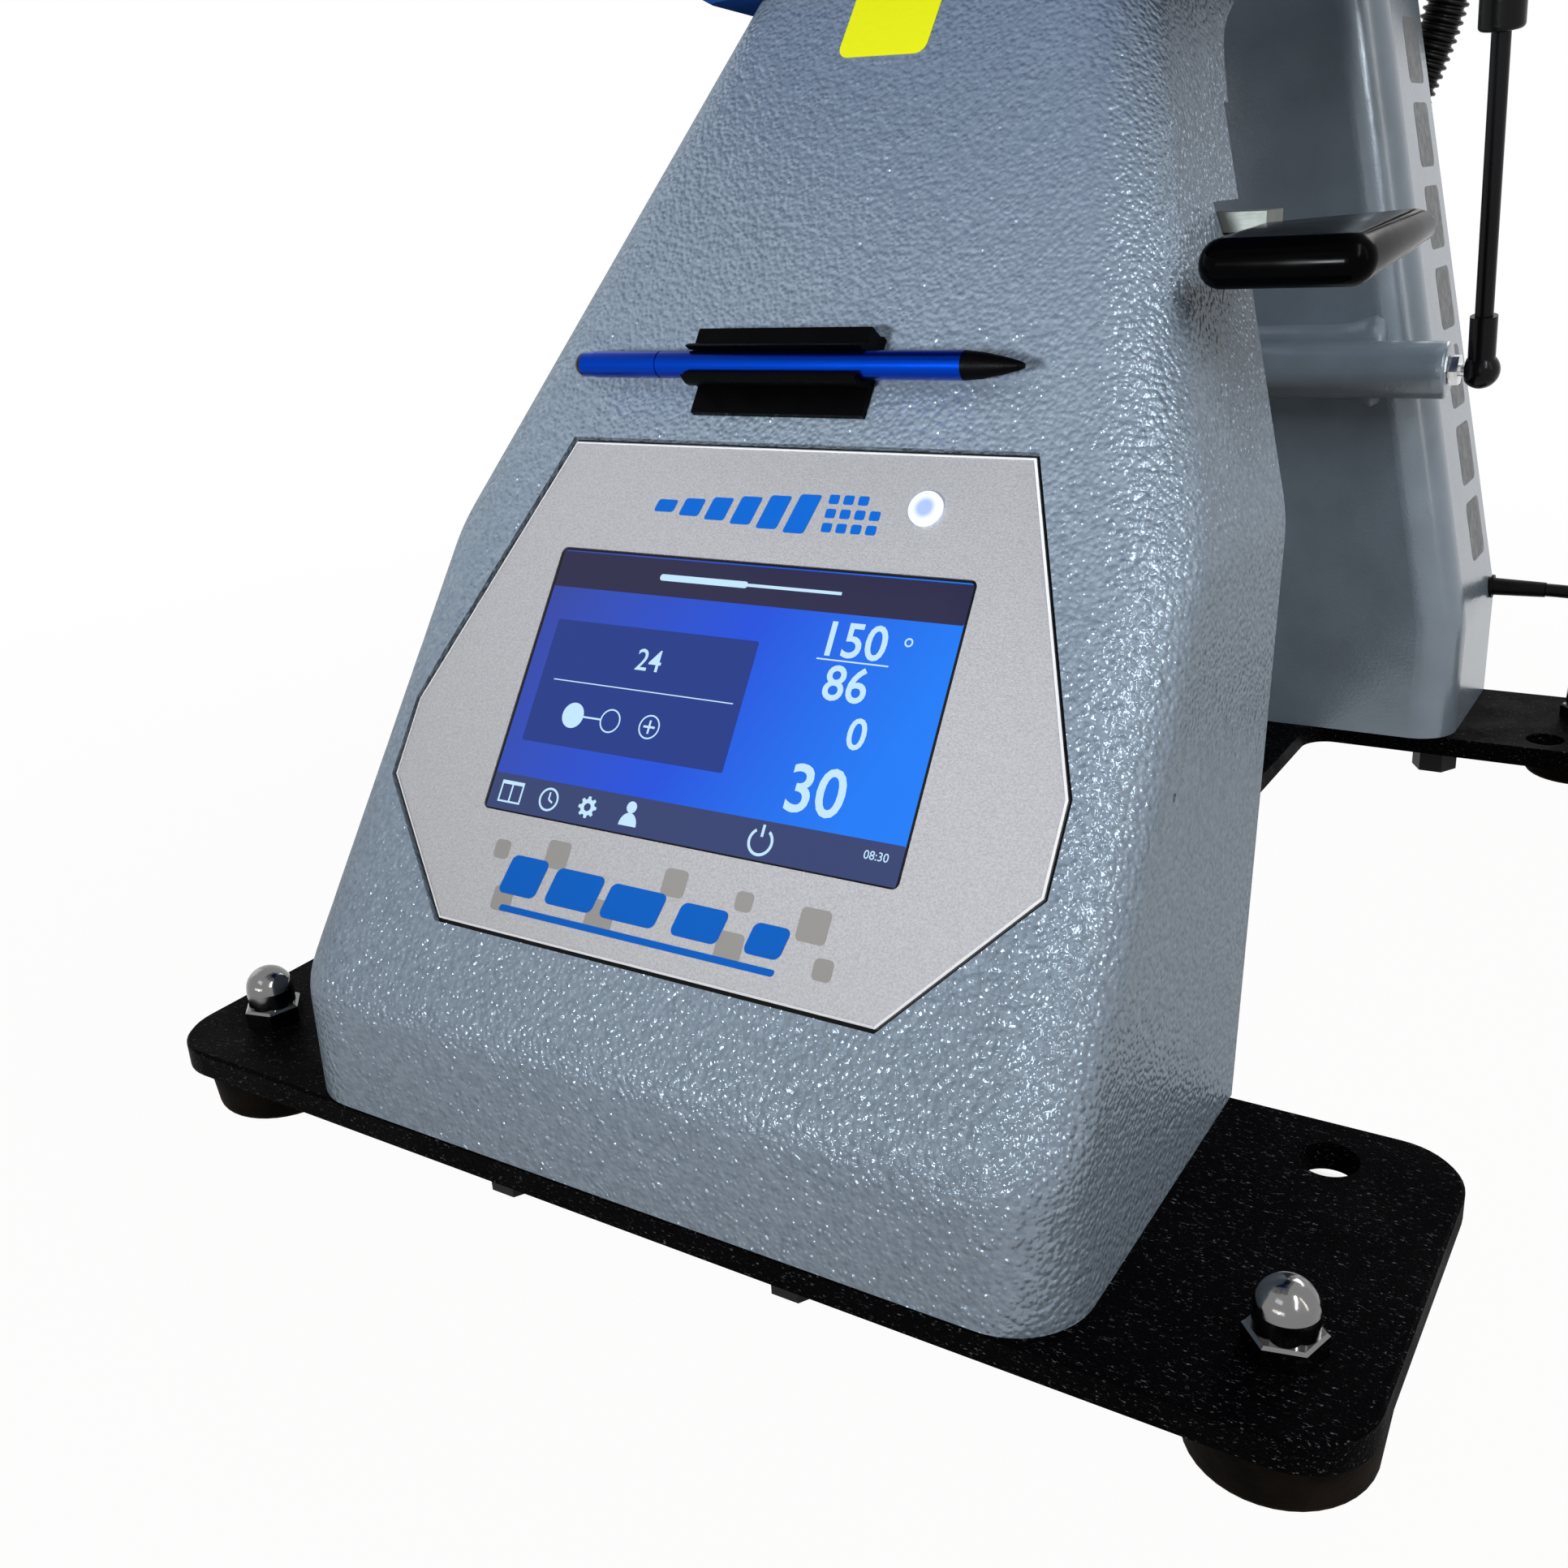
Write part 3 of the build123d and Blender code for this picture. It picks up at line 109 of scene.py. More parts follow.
floor_reach = 9           # metres from the middle to each side
floor_mesh = bpy.data.meshes.new("floor")
floor_mesh.from_pydata([(x * floor_reach, y * floor_reach, 0) for x, y in ((-1, -1), (1, -1), (1, 1), (-1, 1))],
                       [], [(0, 1, 2, 3)])
floor = bpy.data.objects.new("floor", floor_mesh)
bpy.context.scene.collection.objects.link(floor)
floor_paint = bpy.data.materials.new("floor_paint")
floor_nodes, floor_links = node_tree(floor_paint)
floor_matt = floor_nodes.new("ShaderNodeBsdfDiffuse")
floor_matt.inputs["Color"].default_value = (0.50, 0.42, 0.33, 1)
floor_white = floor_nodes.new("ShaderNodeEmission")
floor_mix = floor_nodes.new("ShaderNodeMixShader")
floor_out = floor_nodes.new("ShaderNodeOutputMaterial")

# The white share falls from 1 far away to 0.97 round the machine, so that it stands on a faint grey pool.
floor_place = floor_nodes.new("ShaderNodeTexCoord").outputs["Object"]
floor_shift = floor_nodes.new("ShaderNodeMapping")
floor_shift.inputs["Scale"].default_value = (0.7, 0.7, 0.7)
floor_fade = floor_nodes.new("ShaderNodeTexGradient")
floor_fade.gradient_type = "SPHERICAL"
floor_pool = floor_nodes.new("ShaderNodeMapRange")
for socket, value in (("From Min", 0.20), ("From Max", 0.75), ("To Min", 1.0), ("To Max", 0.97)):
    floor_pool.inputs[socket].default_value = value
floor_links.new(floor_place, floor_shift.inputs["Vector"])
floor_links.new(floor_shift.outputs["Vector"], floor_fade.inputs["Vector"])
floor_links.new(floor_fade.outputs["Fac"], floor_pool.inputs["Value"])


def floor_step(operation, first, second=0.0):
    """One step of arithmetic in the floor's material."""
    return arithmetic(floor_nodes, floor_links, operation, first, second)


# Well under the front bar of the base plate the floor is plain, so that its holes look dark.
bar_middle, bar_half_deep, bar_half_wide = -0.164, 0.030, 0.187
bar_fade = 0.016          # the plain floor fades into the white one over this distance
floor_axes = floor_nodes.new("ShaderNodeSeparateXYZ")
floor_links.new(floor_place, floor_axes.inputs["Vector"])
beyond_x = floor_step("SUBTRACT", floor_step("ABSOLUTE", floor_axes.outputs["X"]), bar_half_wide)
from_bar = floor_step("SUBTRACT", floor_axes.outputs["Y"], bar_middle)
beyond_y = floor_step("SUBTRACT", floor_step("ABSOLUTE", from_bar), bar_half_deep)
under_bar = floor_nodes.new("ShaderNodeMapRange")
under_bar.inputs["From Max"].default_value = bar_fade
floor_links.new(floor_step("MAXIMUM", beyond_x, beyond_y), under_bar.inputs["Value"])
floor_share = floor_step("MULTIPLY", seen_ray(floor_nodes, floor_links), floor_pool.outputs["Result"])
floor_links.new(floor_step("MULTIPLY", floor_share, under_bar.outputs["Result"]), floor_mix.inputs[0])
floor_links.new(floor_matt.outputs[0], floor_mix.inputs[1])
floor_links.new(floor_white.outputs[0], floor_mix.inputs[2])
floor_links.new(floor_mix.outputs[0], floor_out.inputs["Surface"])
floor_mesh.materials.append(floor_paint)


def soft_box(name, place, aim, width, height, power, colour=(1, 1, 1), roll=0.0):
    """A rectangular area lamp that looks from place towards aim, turned about that line by roll degrees."""
    data = bpy.data.lights.new(name, "AREA")
    data.shape = "RECTANGLE"
    data.size, data.size_y = width, height
    data.energy = power
    data.color = colour
    lamp = bpy.data.objects.new(name, data)
    lamp.location = place
    gaze = (Vector(aim) - Vector(place)).to_track_quat("-Z", "Y")
    lamp.rotation_euler = (gaze @ Quaternion((0, 0, 1), np.radians(roll))).to_euler()
    bpy.context.scene.collection.objects.link(lamp)


soft_box("front_box", (-0.5, -3.2, 0.55), (0, -0.1, 0.25), 2.2, 0.6, 11, (1, 0.94, 0.86))
soft_box("upper_box", (-0.5, -1.9, 1.8), (0, -0.1, 0.2), 1.0, 0.6, 3, (0.90, 0.96, 1))
soft_box("key_strip", (1.18, -0.83, 1.35), (0.12, -0.15, 0.2), 0.09, 1.3, 19, (0.97, 0.99, 1), -24)
soft_box("right_box", (1.85, -0.30, 1.05), (0.1, -0.1, 0.2), 0.12, 1.5, 4, (1, 0.90, 0.78))
soft_box("left_box", (-2.4, 0.2, 1.0), (0, 0, 0.3), 1.2, 1.4, 3.5, (0.95, 0.98, 1))
soft_box("back_box", (0.8, 2.4, 1.8), (0, 0.1, 0.3), 1.5, 1.0, 22)

# A soft spot from low in front reaches in under the lower platen and lifts the upper part of the leaning face.
face_data = bpy.data.lights.new("face_spot", "SPOT")
face_data.energy = 280
face_data.color = (0.90, 0.96, 1)
face_data.shadow_soft_size = 0.16
face_data.spot_size = np.radians(17.0)
face_data.spot_blend = 1.0
face_spot = bpy.data.objects.new("face_spot", face_data)
face_spot.location = (-0.25, -2.4, 0.42)
face_spot.rotation_euler = (Vector((0.02, 0.0, 0.34)) - face_spot.location).to_track_quat("-Z", "Y").to_euler()
bpy.context.scene.collection.objects.link(face_spot)

# ------------------------------------------------------------------ mains cord
# A black round two-core lead, 7 mm thick and 1.7 m long, leaves a moulded relief low on the rear column.
# What is not in use lies beside the machine as a neat coil of three layers, with the plug on top.
front = -0.275           # front edge of the base plate
deck = 0.030             # top of the base plate
cord_d = 0.007


def finish(name, colour, roughness, metallic=0.0, **sockets):
    """A principled surface: the given colour, roughness and metal share, and any other sockets by name."""
    material = bpy.data.materials.new(name)
    tree_nodes, links = node_tree(material)
    shader = tree_nodes.new("ShaderNodeBsdfPrincipled")
    out = tree_nodes.new("ShaderNodeOutputMaterial")
    links.new(shader.outputs[0], out.inputs["Surface"])
    shader.inputs["Base Color"].default_value = (*colour, 1)
    shader.inputs["Roughness"].default_value = roughness
    shader.inputs["Metallic"].default_value = metallic
    for socket, value in sockets.items():
        shader.inputs[socket.replace("_", " ")].default_value = value
    return material


def parts_of(material):
    """Nodes, links and the principled shader of a material."""
    tree = material.node_tree
    return tree.nodes, tree.links, next(n for n in tree.nodes if n.type == "BSDF_PRINCIPLED")


def texture(material, kind, scale, stretch=(1, 1, 1), **settings):
    """A noise or cell texture in the piece's own metres; scale counts features per metre."""
    tree_nodes, links, _ = parts_of(material)
    place = tree_nodes.new("ShaderNodeTexCoord")
    mapping = tree_nodes.new("ShaderNodeMapping")
    pattern = tree_nodes.new(kind)
    mapping.inputs["Scale"].default_value = stretch
    pattern.inputs["Scale"].default_value = scale
    for name, value in settings.items():
        if name in pattern.inputs:
            pattern.inputs[name].default_value = value
        else:
            setattr(pattern, name, value)
    links.new(place.outputs["Object"], mapping.inputs["Vector"])
    links.new(mapping.outputs["Vector"], pattern.inputs["Vector"])
    return pattern


def relief(material, pattern, output, depth, strength=1.0, invert=False):
    """Raises the surface by the pattern's value, depth metres high, on top of any relief it has."""
    tree_nodes, links, shader = parts_of(material)
    bump = tree_nodes.new("ShaderNodeBump")
    bump.invert = invert
    bump.inputs["Strength"].default_value = strength
    bump.inputs["Distance"].default_value = depth
    links.new(pattern.outputs[output], bump.inputs["Height"])
    if shader.inputs["Normal"].links:
        links.new(shader.inputs["Normal"].links[0].from_socket, bump.inputs["Normal"])
    links.new(bump.outputs["Normal"], shader.inputs["Normal"])
    return material


def vary(material, socket, pattern, output, low, high, start=0.35, stop=0.65):
    """Drives a socket by the pattern: value start gives low, value stop gives high, straight in between."""
    tree_nodes, links, shader = parts_of(material)
    ramp = tree_nodes.new("ShaderNodeValToRGB")
    ramp.color_ramp.elements[0].position = start
    ramp.color_ramp.elements[1].position = stop
    for element, value in zip(ramp.color_ramp.elements, (low, high)):
        element.color = (*value, 1) if hasattr(value, "__len__") else (value, value, value, 1)
    links.new(pattern.outputs[output], ramp.inputs["Fac"])
    links.new(ramp.outputs["Color"], shader.inputs[socket])
    return material


def grained(material, scale, depth, strength=1.0, **settings):
    """Fine relief from noise: scale features per metre, depth metres high."""
    return relief(material, texture(material, "ShaderNodeTexNoise", scale, **settings), "Fac", depth, strength)


def uneven(material, socket, scale, low, high, start=0.35, stop=0.65, **settings):
    """A socket that drifts with noise between low and high: scale features per metre."""
    pattern = texture(material, "ShaderNodeTexNoise", scale, **settings)
    return vary(material, socket, pattern, "Fac", low, high, start, stop)


def dress(material, *names):
    """Gives CAD nodes their finish."""
    for name in names:
        nodes[name].data.materials.clear()
        nodes[name].data.materials.append(material)


jacket = finish("jacket", (0.003, 0.003, 0.003), 0.45, Specular_IOR_Level=0.10)
grained(jacket, 900.0, 0.00006, Detail=2.0)
uneven(jacket, "Roughness", 60.0, 0.34, 0.50)

cord_route = np.array([
    (0.165, 0.597, 0.061), (0.187, 0.5985, 0.0605), (0.210, 0.602, 0.054), (0.230, 0.606, 0.036),
    (0.244, 0.609, 0.010), (0.257, 0.6115, -0.012), (0.280, 0.6145, -0.0265), (0.308, 0.615, -0.0265)])
coil_centre = np.array([0.340, 0.654, -0.0265])
coil_radius, coil_lane, coil_rise = 0.039, 0.0035, 0.0140
turns, per_turn = 6, 18
angle = np.linspace(-np.pi / 2, -np.pi / 2 + turns * 2 * np.pi, turns * per_turn + 1)

# Each turn of the coil lies in one of two lanes, a cord's width apart, and changes lane within a few points.
lane = np.arctan(3.0 * np.sin((angle + np.pi / 2) / 2.0)) / np.arctan(3.0)
reach = coil_radius + coil_lane * lane
coil_route = coil_centre + np.stack([
    reach * np.cos(angle), reach * np.sin(angle), coil_rise * np.linspace(0, 1, len(angle))], axis=-1)
route = np.concatenate([cord_route, coil_route]) + (0, front, deck)

cord_curve = bpy.data.curves.new("mains_lead", "CURVE")
cord_curve.dimensions = "3D"
cord_line = cord_curve.splines.new("NURBS")
cord_line.points.add(len(route) - 1)
cord_line.points.foreach_set("co", np.column_stack([route, np.ones(len(route))]).ravel())
cord_line.order_u = 3
cord_line.use_endpoint_u = True
cord_line.resolution_u = 8
cord_curve.bevel_depth = cord_d / 2
cord_curve.bevel_resolution = 4
cord_curve.use_fill_caps = True
cord_curve.materials.append(jacket)
lead = bpy.data.objects.new("mains_lead", cord_curve)
bpy.context.scene.collection.objects.link(lead)
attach(lead, "base")
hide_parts("mains_cord", "cord_coil")
dress(jacket, "mains_plug", "mains_gland")

# ------------------------------------------------------------------ base plate
# One 9.5 mm steel plate cut to an I shape, with a mounting hole near each end of its two bars. Its black
# powder coat is rubbed in streaks by handling, and its sparkle is painted: light specks in its colour
# stand in for glints, as the coat itself barely reflects.
plate_coat = finish("plate_coat", (0.002, 0.002, 0.003), 0.50, Specular_IOR_Level=0.01)
grained(plate_coat, 1300.0, 0.0003, Detail=3.0)
# Painted glints and rubbed streaks: fine light specks and streaks in the black coat's colour.
rubbed_streaks_and_painted_glints = texture(plate_coat, "ShaderNodeTexNoise", 1250.0, stretch=(0.45, 1, 1), Detail=5.0, Roughness=0.75)
vary(plate_coat, "Base Color", rubbed_streaks_and_painted_glints, "Fac", (0.0006, 0.0006, 0.0009), (0.34, 0.35, 0.40), 0.60, 0.80)
uneven(plate_coat, "Roughness", 35.0, 0.42, 0.62, Detail=4.0)
dress(plate_coat, "base_plate")

# ------------------------------------------------------------------ feet and fasteners
# Moulded black rubber feet, each held by an M12 bolt from below with a chrome acorn nut on top.
# The column bolts are black hexagons on bright washers.
rubber = finish("rubber", (0.004, 0.003, 0.003), 0.70, Specular_IOR_Level=0.02)
grained(rubber, 700.0, 0.0002, Detail=3.0)
uneven(rubber, "Base Color", 60.0, (0.002, 0.0018, 0.0016), (0.010, 0.007, 0.005), Detail=4.0)
chrome = finish("chrome", (0.19, 0.19, 0.19), 0.10, 1.0)
grained(chrome, 500.0, 0.00003, Detail=2.0)
uneven(chrome, "Roughness", 160.0, 0.07, 0.17, Detail=3.0)
zinc = finish("zinc", (0.62, 0.62, 0.63), 0.30, 1.0)
grained(zinc, 900.0, 0.00004)
uneven(zinc, "Roughness", 120.0, 0.24, 0.42, Detail=3.0)
black_steel = finish("black_steel", (0.010, 0.010, 0.011), 0.42, Specular_IOR_Level=0.10)
grained(black_steel, 800.0, 0.00005)
dress(rubber, "rubber_feet")
dress(chrome, "foot_acorn_nuts", "draw_handle")
dress(zinc, "foot_bolts", "column_washers", "lever_bracket", "carriage_plate", "platen_hub")
dress(black_steel, "front_column_bolts", "rear_column_bolts", "yoke_bolts", "panel_backing", "slide_blocks")

# ------------------------------------------------------------------ front column
# Folded and welded 3 mm sheet under a glossy silver-grey hammertone enamel, whose surface dries in
# small rounded pebbles. The back is a separate flat cover with a dark seam round it.
hammertone = finish("hammertone", (0.205, 0.255, 0.315), 0.18, 0.30, Specular_IOR_Level=0.0)
pebbles = texture(hammertone, "ShaderNodeTexVoronoi", 560.0, feature="SMOOTH_F1", Smoothness=0.45)
relief(hammertone, pebbles, "Distance", 0.0010, 0.75, invert=True)
grained(hammertone, 340.0, 0.0010, 0.65, Detail=2.0)
uneven(hammertone, "Base Color", 420.0, (0.178, 0.223, 0.278), (0.238, 0.292, 0.356), 0.30, 0.70, Detail=2.0)
dress(hammertone, "front_column", "column_back_cover", "arm", "arm_strut_tube", "lift_handle")

# ------------------------------------------------------------------ control panel
# A satin grey eight-sided plate sits in a cut-out of the leaning face, with printed blue and grey blocks,
# a round lamp and the touch screen. Places on it are measured from the middle of the screen's lower bar:
# across to the right, up the face, and out from it.
panel_origin = np.array([0.0, front + 0.04597, deck + 0.10756])
face_lean = 0.7178
up_face = np.array([0.0, face_lean, 1.0]) / np.hypot(1.0, face_lean)
out_of_face = np.array([0.0, -1.0, face_lean]) / np.hypot(1.0, face_lean)


def on_panel(across, up, out):
    """Points of the panel: origin + across * X + up * (up the face) + out * (its normal)."""
    across, up, out = np.broadcast_arrays(across, up, out)
    return (panel_origin + across[..., None] * np.array([1.0, 0.0, 0.0])
            + up[..., None] * up_face + out[..., None] * out_of_face)


def solid(name, points, faces, material, smooth=True):
    """A new mesh object from its points and its faces."""
    mesh = bpy.data.meshes.new(name)
    mesh.from_pydata(np.asarray(points).reshape(-1, 3).tolist(), [], [list(face) for face in faces])
    mesh.polygons.foreach_set("use_smooth", [smooth] * len(mesh.polygons))
    mesh.materials.append(material)
    mesh.update()
    made = bpy.data.objects.new(name, mesh)
    bpy.context.scene.collection.objects.link(made)
    return made


def piece(name, points, faces, material, body, slot, smooth=True):
    """A new solid that rides on a body, in the given material. The slot is not used."""
    made = solid(name, points, faces, material, smooth)
    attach(made, body)
    return made


def skin(rows, endless=False):
    """A closed skin over rows of points, each row a closed loop: a quad between neighbours of neighbouring
    rows. The first and last rows are closed by flat faces, or joined to each other when endless."""
    rows = np.asarray(rows)
    count, around = rows.shape[:2]
    i, j = np.meshgrid(np.arange(count if endless else count - 1), np.arange(around), indexing="ij")
    k, following = (j + 1) % around, (i + 1) % count * around
    faces = np.stack([i * around + j, i * around + k, following + k, following + j], axis=-1)
    last = (count - 1) * around
    ends = [] if endless else [list(range(around - 1, -1, -1)), list(range(last, last + around))]
    return rows.reshape(-1, 3), faces.reshape(-1, 4).tolist() + ends


def slab(outline, low, high, place=on_panel):
    """A flat tile on a surface: the skin over its outline at two heights."""
    across, up = np.asarray(outline).T
    return skin([place(across, up, low), place(across, up, high)])


def join(tiles):
    """Several tiles as one list of points and one list of faces."""
    starts = np.cumsum([0] + [len(points) for points, _ in tiles])
    faces = [[start + k for k in face] for start, (_, group) in zip(starts, tiles) for face in group]
    return np.concatenate([points for points, _ in tiles]), faces


def rounded(middle, size, radius, slant=0.0, steps=6):
    """A rectangle with round corners: four quarter circles joined by straight sides, sheared by slant."""
    quarter = np.linspace(0, np.pi / 2, steps)
    turn = (np.arange(4)[:, None] * np.pi / 2 + quarter).ravel()
    corner = np.repeat(np.array([[1, 1], [-1, 1], [-1, -1], [1, -1]]), steps, axis=0)
    half = np.array(size) / 2 - radius
    outline = corner * half + radius * np.stack([np.cos(turn), np.sin(turn)], axis=-1)
    outline[:, 0] += slant * outline[:, 1]
    return outline + np.array(middle)


def disc(middle, radius, steps=28):
    """A circle: middle + radius * (cos, sin)."""
    turn = np.arange(steps) * 2 * np.pi / steps
    return np.array(middle) + radius * np.stack([np.cos(turn), np.sin(turn)], axis=-1)


panel_coat = finish("panel_coat", (0.40, 0.40, 0.42), 0.36, 0.55, Specular_IOR_Level=0.1)
grained(panel_coat, 2600.0, 0.00008, Detail=2.0)
uneven(panel_coat, "Base Color", 1500.0, (0.355, 0.355, 0.375), (0.445, 0.445, 0.465), Detail=3.0)
dress(panel_coat, "faceplate")

# A fine bright bead runs round the plate's rim: its outer slope catches the light on the right and below.
# Its section, as (distance in from the rim, height), is carried round the eight mitred corners.
rim_right = [(0.0812, -0.0452), (0.1195, -0.0014), (0.1196, 0.0259), (0.0855, 0.1241)]
rim = np.array(rim_right + [(-across, up) for across, up in reversed(rim_right)])
bead_section = [(0.00002, -0.00096), (0.00056, -0.00048), (0.00070, -0.00054), (0.00070, -0.00100),
                (0.00002, -0.00100)]


def mitre(corners):
    """At each corner of a convex plan, the step out that moves both its sides out by one: the sum of the
    sides' unit normals over 1 + their dot product. The sides' normals and those before them come too."""
    edge = np.roll(corners, -1, axis=0) - corners
    edge /= np.linalg.norm(edge, axis=1, keepdims=True)
    normal = np.stack([edge[:, 1], -edge[:, 0]], axis=-1)
    before = np.roll(normal, 1, axis=0)
    return (normal + before) / (1 + (normal * before).sum(axis=1, keepdims=True)), normal, before


rim_step = mitre(rim)[0]
bead_rows = [on_panel(*(rim - inset * rim_step).T, height) for inset, height in bead_section]
rim_bright = finish("rim_bright", (0.78, 0.78, 0.80), 0.45, Specular_IOR_Level=0.1)
grained(rim_bright, 2600.0, 0.00003)
uneven(rim_bright, "Roughness", 300.0, 0.38, 0.50)
piece("panel_bead", *skin(bead_rows, endless=True), rim_bright, "base", "panel_grey", smooth=False)

print_blue = finish("print_blue", (0.002, 0.095, 0.44), 0.40, Specular_IOR_Level=0.1)
grained(print_blue, 2600.0, 0.00003)
uneven(print_blue, "Roughness", 300.0, 0.30, 0.44)
print_grey = finish("print_grey", (0.235, 0.225, 0.215), 0.46)
grained(print_grey, 2600.0, 0.00003)
uneven(print_grey, "Roughness", 300.0, 0.40, 0.52)
plate_face = -0.0010      # the plate's front, seen from the column's face
ink = 0.00006             # thickness of one printed layer

bar_across = -0.040 + 0.0105 * np.arange(6)
bar_tall = 0.004375 + 0.00175 * np.arange(6)
upper_bars = [slab(rounded((x, 0.1025), (0.0078, tall), 0.0010, 0.25), plate_face, plate_face + ink)
              for x, tall in zip(bar_across, bar_tall)]
upper_dots = [slab(rounded((0.0225 + 0.0052 * i, 0.0985 + 0.0047 * j), (0.0036, 0.0031), 0.0007),
                   plate_face, plate_face + ink) for i in range(4) for j in range(3 - (i > 2))]
piece("upper_print", *join(upper_bars + upper_dots), print_blue, "base", "print_blue", smooth=False)

block_across = (-0.052, -0.031, -0.008, 0.017, 0.041)
block_wide = (0.0150, 0.0190, 0.0210, 0.0170, 0.0125)
lower_blocks = [slab(rounded((x, -0.0262 - 0.0006 * k), (w, 0.0128 - 0.0008 * k), 0.0022, 0.20),
                     plate_face + ink, plate_face + 2 * ink)
                for k, (x, w) in enumerate(zip(block_across, block_wide))]
lower_line = [slab(rounded((-0.006, -0.0372), (0.104, 0.0021), 0.0009, 0.20),
                   plate_face + ink, plate_face + 2 * ink)]
piece("lower_print", *join(lower_blocks + lower_line), print_blue, "base", "print_blue", smooth=False)
grey_tiles = [(-0.064, -0.0190, 0.0062), (-0.0415, -0.0172, 0.0090), (-0.0190, -0.0330, 0.0105),
              (0.0045, -0.0180, 0.0085), (0.0290, -0.0330, 0.0092), (0.0300, -0.0190, 0.0060),
              (0.0545, -0.0215, 0.0100), (0.0610, -0.0330, 0.0064), (-0.0580, -0.0345, 0.0080)]
grey_blocks = [slab(rounded((x, y), (side, side), 0.0016), plate_face, plate_face + ink)
               for x, y, side in grey_tiles]
piece("grey_print", *join(grey_blocks), print_grey, "base", "print_grey", smooth=False)

# ------------------------------------------------------------------ touch screen
# A glossy glass front over a lit picture: a blue ground that brightens to the right, dark bars above and
# below, a shaded card with three stations, large pale figures, and small signs along the bottom.


def lit(name, colour):
    """A glossy black surface that shines in one colour, as a screen behind glass does."""
    material = finish(name, (0.004, 0.004, 0.005), 0.10, Emission_Color=(*colour, 1), Emission_Strength=1.0,
                      Specular_IOR_Level=0.12)
    return uneven(material, "Roughness", 40.0, 0.08, 0.13)


screen_glass = finish("screen_glass", (0.006, 0.006, 0.008), 0.08, Specular_IOR_Level=0.12)
uneven(screen_glass, "Roughness", 40.0, 0.06, 0.12)
dress(screen_glass, "touch_screen")

screen_ground = lit("screen_ground", (0.02, 0.08, 0.5))
ground_nodes, ground_links, ground_shader = parts_of(screen_ground)
ground_place = ground_nodes.new("ShaderNodeTexCoord")
ground_turn = ground_nodes.new("ShaderNodeMapping")
ground_axis = ground_nodes.new("ShaderNodeSeparateXYZ")
ground_ramp = ground_nodes.new("ShaderNodeValToRGB")
ground_turn.inputs["Scale"].default_value = (6.2, 6.2, 6.2)
ground_turn.inputs["Rotation"].default_value = (0.0, np.radians(-25.0), 0.0)
ground_turn.inputs["Location"].default_value = (1.055, 0.0, 0.0)
ground_stops = ground_ramp.color_ramp.elements
ground_stops[0].position, ground_stops[0].color = 0.05, (0.034, 0.054, 0.31, 1)
ground_stops[1].position, ground_stops[1].color = 1.0, (0.008, 0.20, 0.93, 1)
for stop, colour in ((0.30, (0.026, 0.072, 0.50)), (0.60, (0.012, 0.080, 0.72))):
    ground_stops.new(stop).color = (*colour, 1)
ground_links.new(ground_place.outputs["Object"], ground_turn.inputs["Vector"])
ground_links.new(ground_turn.outputs["Vector"], ground_axis.inputs["Vector"])
ground_links.new(ground_axis.outputs["X"], ground_ramp.inputs["Fac"])
ground_links.new(ground_ramp.outputs["Color"], ground_shader.inputs["Emission Color"])

glass_face = -0.0013      # the glass, seen from the column's face
layer = 0.00004           # thickness of one layer of the picture


def screen_tile(name, middle, size, radius, level, material):
    """A plain field of the picture: a rectangle with round corners, level layers above the glass."""
    low = glass_face + level * layer
    piece(name, *slab(rounded(middle, size, radius), low, low + layer), material, "base", "screen", smooth=False)


bar_dark = lit("bar_dark", (0.022, 0.021, 0.066))
bar_slate = lit("bar_slate", (0.035, 0.055, 0.165))
card_shade = lit("card_shade", (0.014, 0.041, 0.245))
pale_sign = lit("pale_sign", (0.55, 0.80, 1.0))
screen_wide = 0.1526
screen_tile("screen_picture", (0.0, 0.0393), (screen_wide, 0.0905), 0.0012, 0, screen_ground)
screen_tile("screen_top_bar", (0.0, 0.0778), (screen_wide, 0.0126), 0.0006, 1, bar_dark)
screen_tile("screen_low_bar", (0.0, -0.0003), (screen_wide, 0.0120), 0.0006, 1, bar_slate)
screen_tile("screen_card", (-0.030, 0.0388), (0.080, 0.0425), 0.0008, 1, card_shade)

sign_low, sign_high = glass_face + 2 * layer, glass_face + 3 * layer


def line(start, stop, width):
    """A straight stroke on the panel from start to stop, as a thin rectangle."""
    start, stop = np.array(start), np.array(stop)
    side = np.array([stop[1] - start[1], start[0] - stop[0]]) / np.hypot(*(stop - start)) * width / 2
    return slab(np.array([start + side, stop + side, stop - side, start - side]), sign_low, sign_high)


def ring(middle, inner, outer, start=0.0, stop=360.0, steps=32):
    """A flat ring or arc on the panel, from start to stop degrees: a box section carried round a circle."""
    whole = stop - start >= 360.0
    turn = np.radians(np.linspace(start, stop, steps))[:steps - whole, None]
    radius = np.array([inner, inner, outer, outer])
    height = np.array([sign_low, sign_high, sign_high, sign_low])
    rows = on_panel(middle[0] + radius * np.cos(turn), middle[1] + radius * np.sin(turn), height)
    return skin(rows, endless=whole)


